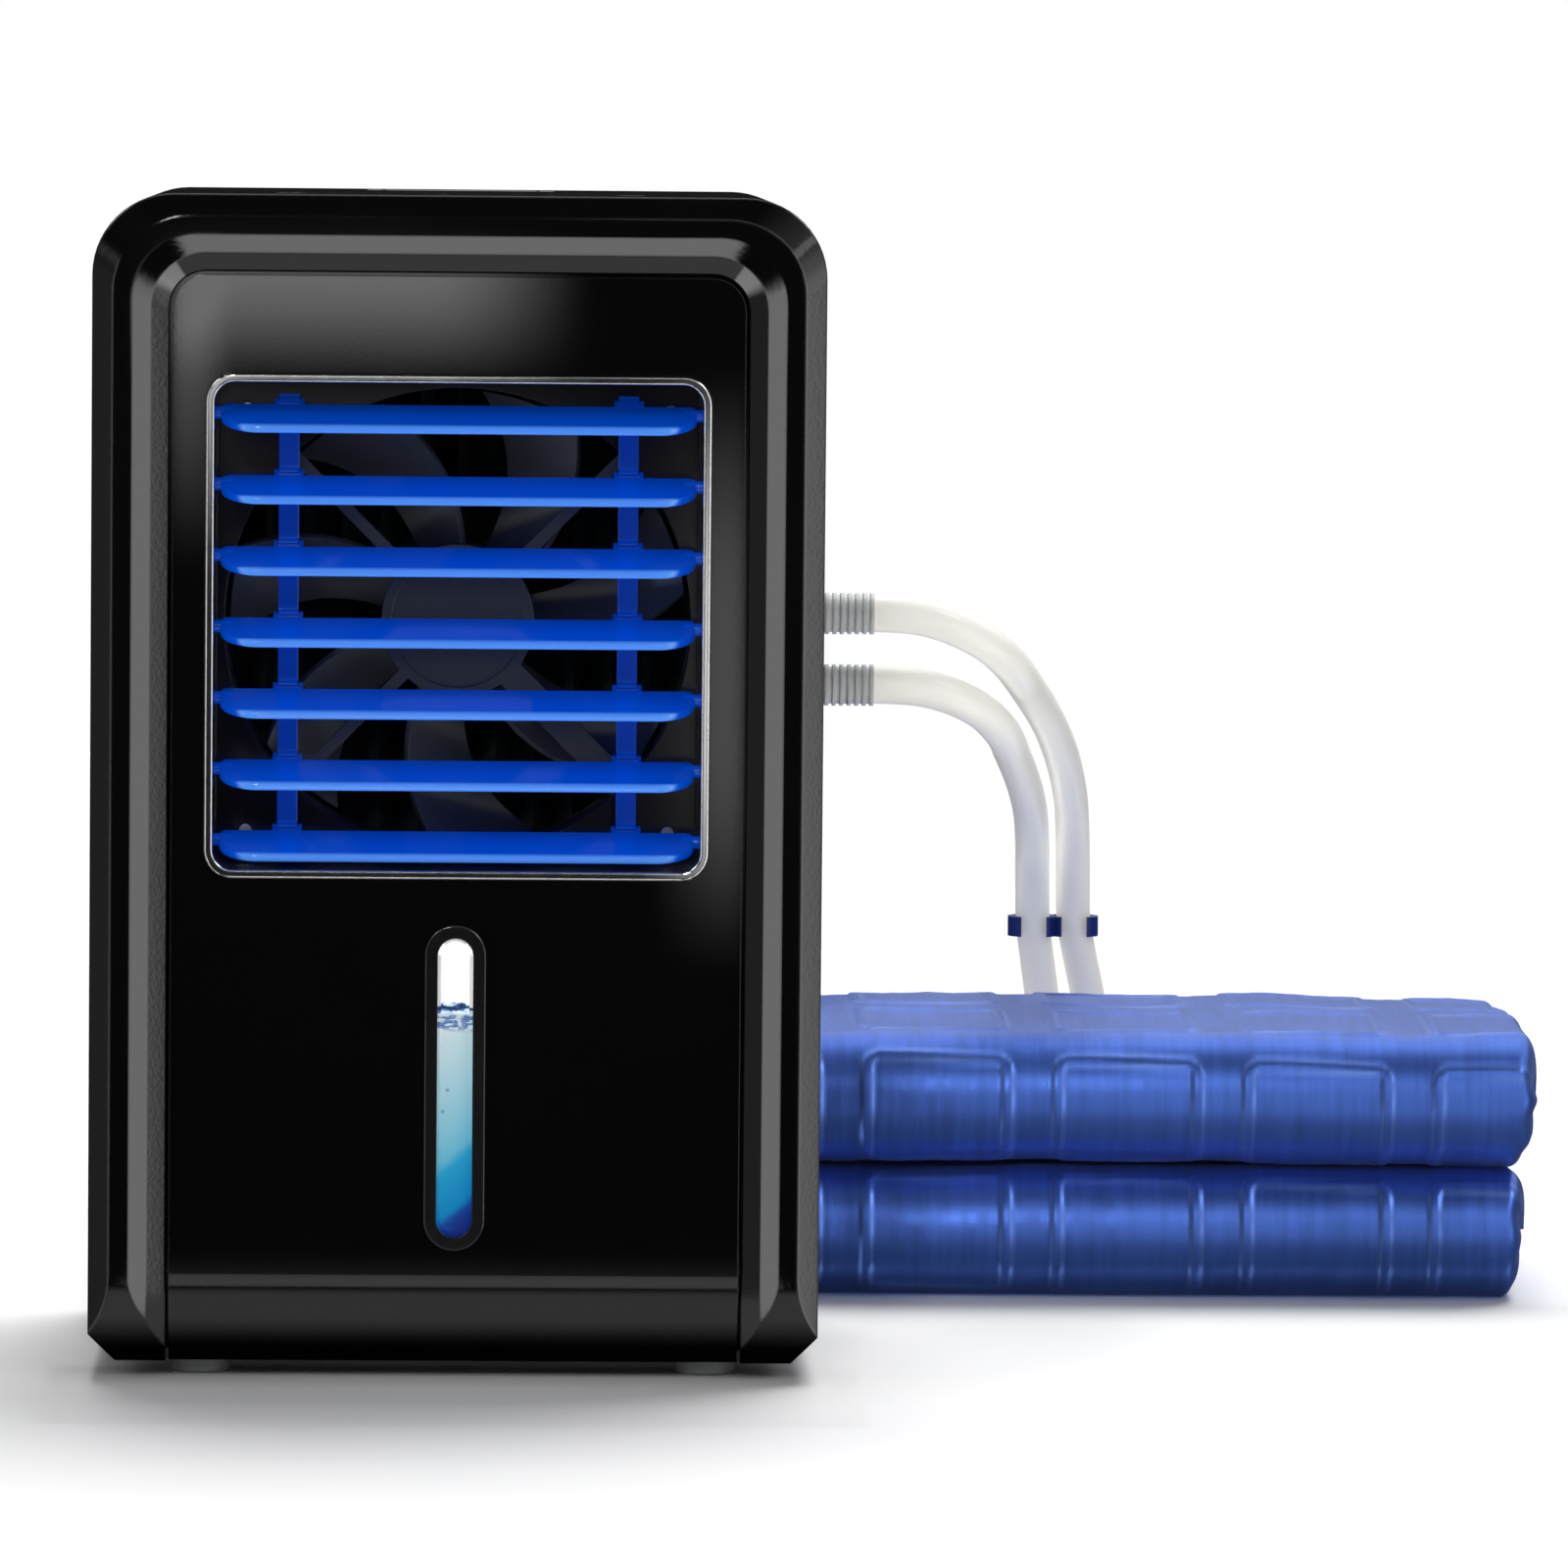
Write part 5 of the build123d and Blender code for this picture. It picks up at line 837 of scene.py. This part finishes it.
class SCENE_OT_cooler_studio(bpy.types.Operator):
    """Sets the floor, the lights and the camera"""

    bl_idname = "scene.cooler_studio"
    bl_label = "Studio"

    def light(self, kind, name, spot, aim, **settings):
        """A lamp at a spot, turned to its aim."""
        lamp = bpy.data.lights.new(name, kind)
        for key, value in settings.items():
            setattr(lamp, key, value)
        made = bpy.data.objects.new(name, lamp)
        made.location = spot
        made.rotation_euler = (Vector(aim) - Vector(spot)).to_track_quat("-Z", "Y").to_euler()
        made.visible_camera = False
        bpy.context.scene.collection.objects.link(made)
        return made

    def reflector(self, card, shine, across, deep, tall, clear=True):
        """A glowing card, from its lower near edge to its upper far edge, that shows only in reflections.

        A clear card adds its glow to what lies behind it, and another hides that.
        """
        lamp = card.node("ShaderNodeEmission", {}, {"Color": WHITE, "Strength": shine})
        if clear:
            behind = card.node("ShaderNodeBsdfTransparent", {}, {})
            lamp = card.node("ShaderNodeAddShader", {}, {0: lamp, 1: behind})
        (left, right), (near, far), (low, high) = across, deep, tall
        corners = np.array([(HOST_X + x, FRONT_Y + y, z) for x, y, z in (
            (left, near, low), (right, near, low), (right, far, high), (left, far, high))])
        made = piece(card.material.name, corners, np.array([[0, 1, 2, 3]]), card.end(lamp))
        for ray in ("camera", "diffuse", "transmission", "volume_scatter", "shadow"):
            setattr(made, f"visible_{ray}", False)

    def floor(self):
        """White paper that reflections look through, because cards stand in for it there."""
        finish = Graph("floor_white")
        paper = finish.noise(finish.spot(), 6.0, 3.0)
        white = finish.surface(base_color=finish.mix(paper, (0.9, 0.9, 0.9), (0.93, 0.93, 0.93)),
                               roughness=0.6, specular_ior_level=0.2)
        (left, right), (near, far) = FLOOR_X, FLOOR_Y
        corners = np.array([(left, near, 0), (right, near, 0), (right, far, 0), (left, far, 0)])
        made = piece("floor", corners, np.array([[0, 1, 2, 3]]), white)
        made.visible_glossy = False

    def surroundings(self, scene):
        """White all round, dimmer for soft light, and soft boxes by direction for reflections."""
        world = bpy.data.worlds.new("studio")
        scene.world = world
        sky = Graph("studio", world)
        way = sky.spot("Generated")
        across, ahead, up = (sky.axis(way, name) for name in "XYZ")
        aside, front, down = abs(across), -ahead, -up
        # two tall soft boxes in front, to the left and right
        fronts = front.between(0.38, 0.5) * front.outside(0.72, 0.80) * aside.between(0.58, 0.74)
        fronts = fronts * up.outside(0.2, 0.4)
        # a dim edge all round, brighter above and below the corners
        flank = front.between(0.06, 0.16) * front.outside(0.32, 0.44)
        high = flank * aside.between(0.45, 0.62) * up.between(0.45, 0.62) * up.outside(0.74, 0.86)
        low = flank * aside.between(0.3, 0.5) * down.between(0.35, 0.6) * down.outside(0.8, 0.95)
        right = across.between(0.0, 0.3) * front.between(0.17, 0.22)
        edge = flank * up.outside(0.2, 0.5) * (0.14 + 0.5 * right)
        # behind and above, for the deck and the pad's top
        behind = ahead.between(0.0, 0.4) * up.between(0.2, 0.5)
        above = up.between(0.8, 0.97) * ahead.between(-0.15, 0.0)
        glow = 0.01 + 1.9 * fronts + 7.0 * high + 2.2 * low + edge + 1.2 * behind + 0.8 * above
        boxes = sky.node("ShaderNodeBackground", {}, {"Color": WHITE, "Strength": glow})
        dim = 1 - 0.7 * sky.node("ShaderNodeLightPath", {}, {}, "Is Diffuse Ray")
        soft = sky.node("ShaderNodeBackground", {}, {"Color": WHITE, "Strength": dim})
        mirrored = sky.node("ShaderNodeLightPath", {}, {}, "Is Glossy Ray")
        sky.end(sky.node("ShaderNodeMixShader", {}, {0: mirrored, 1: soft, 2: boxes}),
                "ShaderNodeOutputWorld")

    def cards(self):
        """Near cards, for the panel, the frame's slope, the panel's foot and the pad."""
        # close to the panel: its upper left, its right side and its foot
        card = Graph("panel_card")
        spot = card.spot()
        side, tall = card.axis(spot, "X") - HOST_X, card.axis(spot, "Z")
        top = tall.between(0.238, 0.274) * tall.outside(0.271, 0.277) * side.outside(-0.01, 0.035)
        left = side.outside(-0.070, -0.058) * tall.between(0.19, 0.26) * tall.outside(0.268, 0.276)
        right = side.between(0.050, 0.071) * tall.between(0.085, 0.15) * tall.outside(0.18, 0.25)
        foot = tall.outside(-0.012, 0.014)
        shine = 2.2 * (top + 0.5 * left + 0.45 * right).clip() * side.between(-0.077, -0.072)
        shine = shine * side.outside(0.072, 0.077) + 0.6 * foot
        self.reflector(card, shine, (-0.085, 0.085), (-0.15, -0.15), (-0.03, 0.29))

        def depth(card):
            return card.axis(card.spot(), "Y") - FRONT_Y

        # on the floor under the bent foot of the panel, and below the floor for the frame's upper slope
        card = Graph("foot_card")
        deep = depth(card)
        shine = 0.42 * deep.between(-0.08, -0.045) * deep.outside(-0.014, 0.006)
        self.reflector(card, shine, (-0.1, 0.1), (-0.08, 0.03), (0.0002, 0.0002), clear=False)
        card = Graph("slope_card")
        deep = depth(card)
        shine = 1.9 * deep.between(-0.42, -0.38) * deep.outside(-0.27, -0.23)
        self.reflector(card, shine, (-0.11, 0.11), (-0.42, -0.23), (-0.12, -0.12), clear=False)

        # on the floor before the pad, tall in front of it, and behind it
        card = Graph("pad_foot_card")
        shine = 0.2 - 0.1 * depth(card).between(0.10, 0.176)
        self.reflector(card, shine, (0.1, 0.6), (0.095, 0.176), (0.0003, 0.0003), clear=False)
        card = Graph("pad_card")
        tall = card.axis(card.spot(), "Z")
        shine = tall.between(-0.14, -0.06) * tall.outside(0.2, 0.5) * 0.78
        self.reflector(card, shine, (0.13, 0.55), (-0.1, -0.1), (-0.25, 0.5))
        card = Graph("rear_card")
        shine = card.axis(card.spot(), "Z").between(0.02, 0.16) * 0.3
        self.reflector(card, shine, (0.13, 0.6), (0.9, 0.9), (0.0, 0.3))

    def lamps(self):
        """A wide sun from high behind, one soft box on the pad and a narrow lamp on the fan."""
        middle = Vector((HOST_X + 0.1, FRONT_Y + 0.15, 0.12))
        sun = self.light("SUN", "high_sun", middle + Vector((0.14, 0.45, 1.0)), middle,
                         energy=3.1, angle=math.radians(36))
        sun.visible_glossy = False
        self.light("AREA", "key_box", (HOST_X + 0.48, FRONT_Y - 0.65, 0.62),
                   (HOST_X + 0.2, FRONT_Y + 0.2, 0.05), shape="RECTANGLE", size=0.9, size_y=0.3, energy=0.8)
        self.light("SPOT", "fan_lamp", (HOST_X - 0.2, FRONT_Y - 1.2, 0.75), (HOST_X, FRONT_Y, 0.186),
                   energy=60, spot_size=math.radians(7.5), spot_blend=0.4, shadow_soft_size=0.15)

    def camera(self, scene, settings):
        """Looks at the host from straight ahead and a little above, as the photograph does."""
        lens = bpy.data.cameras.new("view")
        lens.sensor_width = 36
        lens.lens = settings.lens
        lens.clip_end = 30
        camera = bpy.data.objects.new("view", lens)
        camera.location = (HOST_X, FRONT_Y - settings.distance, CAMERA_HEIGHT)
        heading = Euler((math.radians(90 - CAMERA_DOWN), 0, math.radians(-CAMERA_RIGHT)), "XYZ").to_matrix()
        roll = Matrix.Rotation(math.radians(CAMERA_ROLL), 3, "Z")
        camera.rotation_euler = (heading @ roll).to_euler()
        scene.collection.objects.link(camera)
        scene.camera = camera

    def execute(self, context):
        scene = context.scene
        scene.view_settings.view_transform = "Standard"
        self.floor()
        self.surroundings(scene)
        self.cards()
        self.lamps()
        self.camera(scene, scene.studio)
        return {"FINISHED"}


class VIEW3D_PT_cooler(bpy.types.Panel):
    """Lists the pieces of the cooler"""

    bl_label = "Cooling Pad"
    bl_space_type = "VIEW_3D"
    bl_region_type = "UI"
    bl_category = "Cooling Pad"

    def draw(self, context):
        for step in STEPS:
            self.layout.operator(step.bl_idname)
        for name in GROUPS:
            group = getattr(context.scene, name)
            for key in group.__annotations__:
                self.layout.prop(group, key)


GROUPS = {"cooler": CoolerSettings, "hoses": HoseSettings, "pad": PadSettings, "studio": StudioSettings}
STEPS = (
    SCENE_OT_cooler_shell, SCENE_OT_cooler_louvre, SCENE_OT_cooler_fan, SCENE_OT_cooler_gauge,
    SCENE_OT_cooler_hoses, SCENE_OT_cooler_pad, SCENE_OT_cooler_studio,
)


def register():
    """Makes the settings, operators and panel known."""
    for made in (*GROUPS.values(), *STEPS, VIEW3D_PT_cooler):
        bpy.utils.register_class(made)
    for name, group in GROUPS.items():
        setattr(bpy.types.Scene, name, PointerProperty(type=group))


def unregister():
    """Takes them away again."""
    for name in GROUPS:
        delattr(bpy.types.Scene, name)
    for made in (VIEW3D_PT_cooler, *reversed(STEPS), *GROUPS.values()):
        bpy.utils.unregister_class(made)


def main():
    """Builds every piece."""
    register()
    bpy.ops.scene.cooler_shell()
    bpy.ops.scene.cooler_louvre()
    bpy.ops.scene.cooler_fan()
    bpy.ops.scene.cooler_gauge()
    bpy.ops.scene.cooler_hoses()
    bpy.ops.scene.cooler_pad()
    bpy.ops.scene.cooler_studio()


if __name__ == "__main__":
    main()
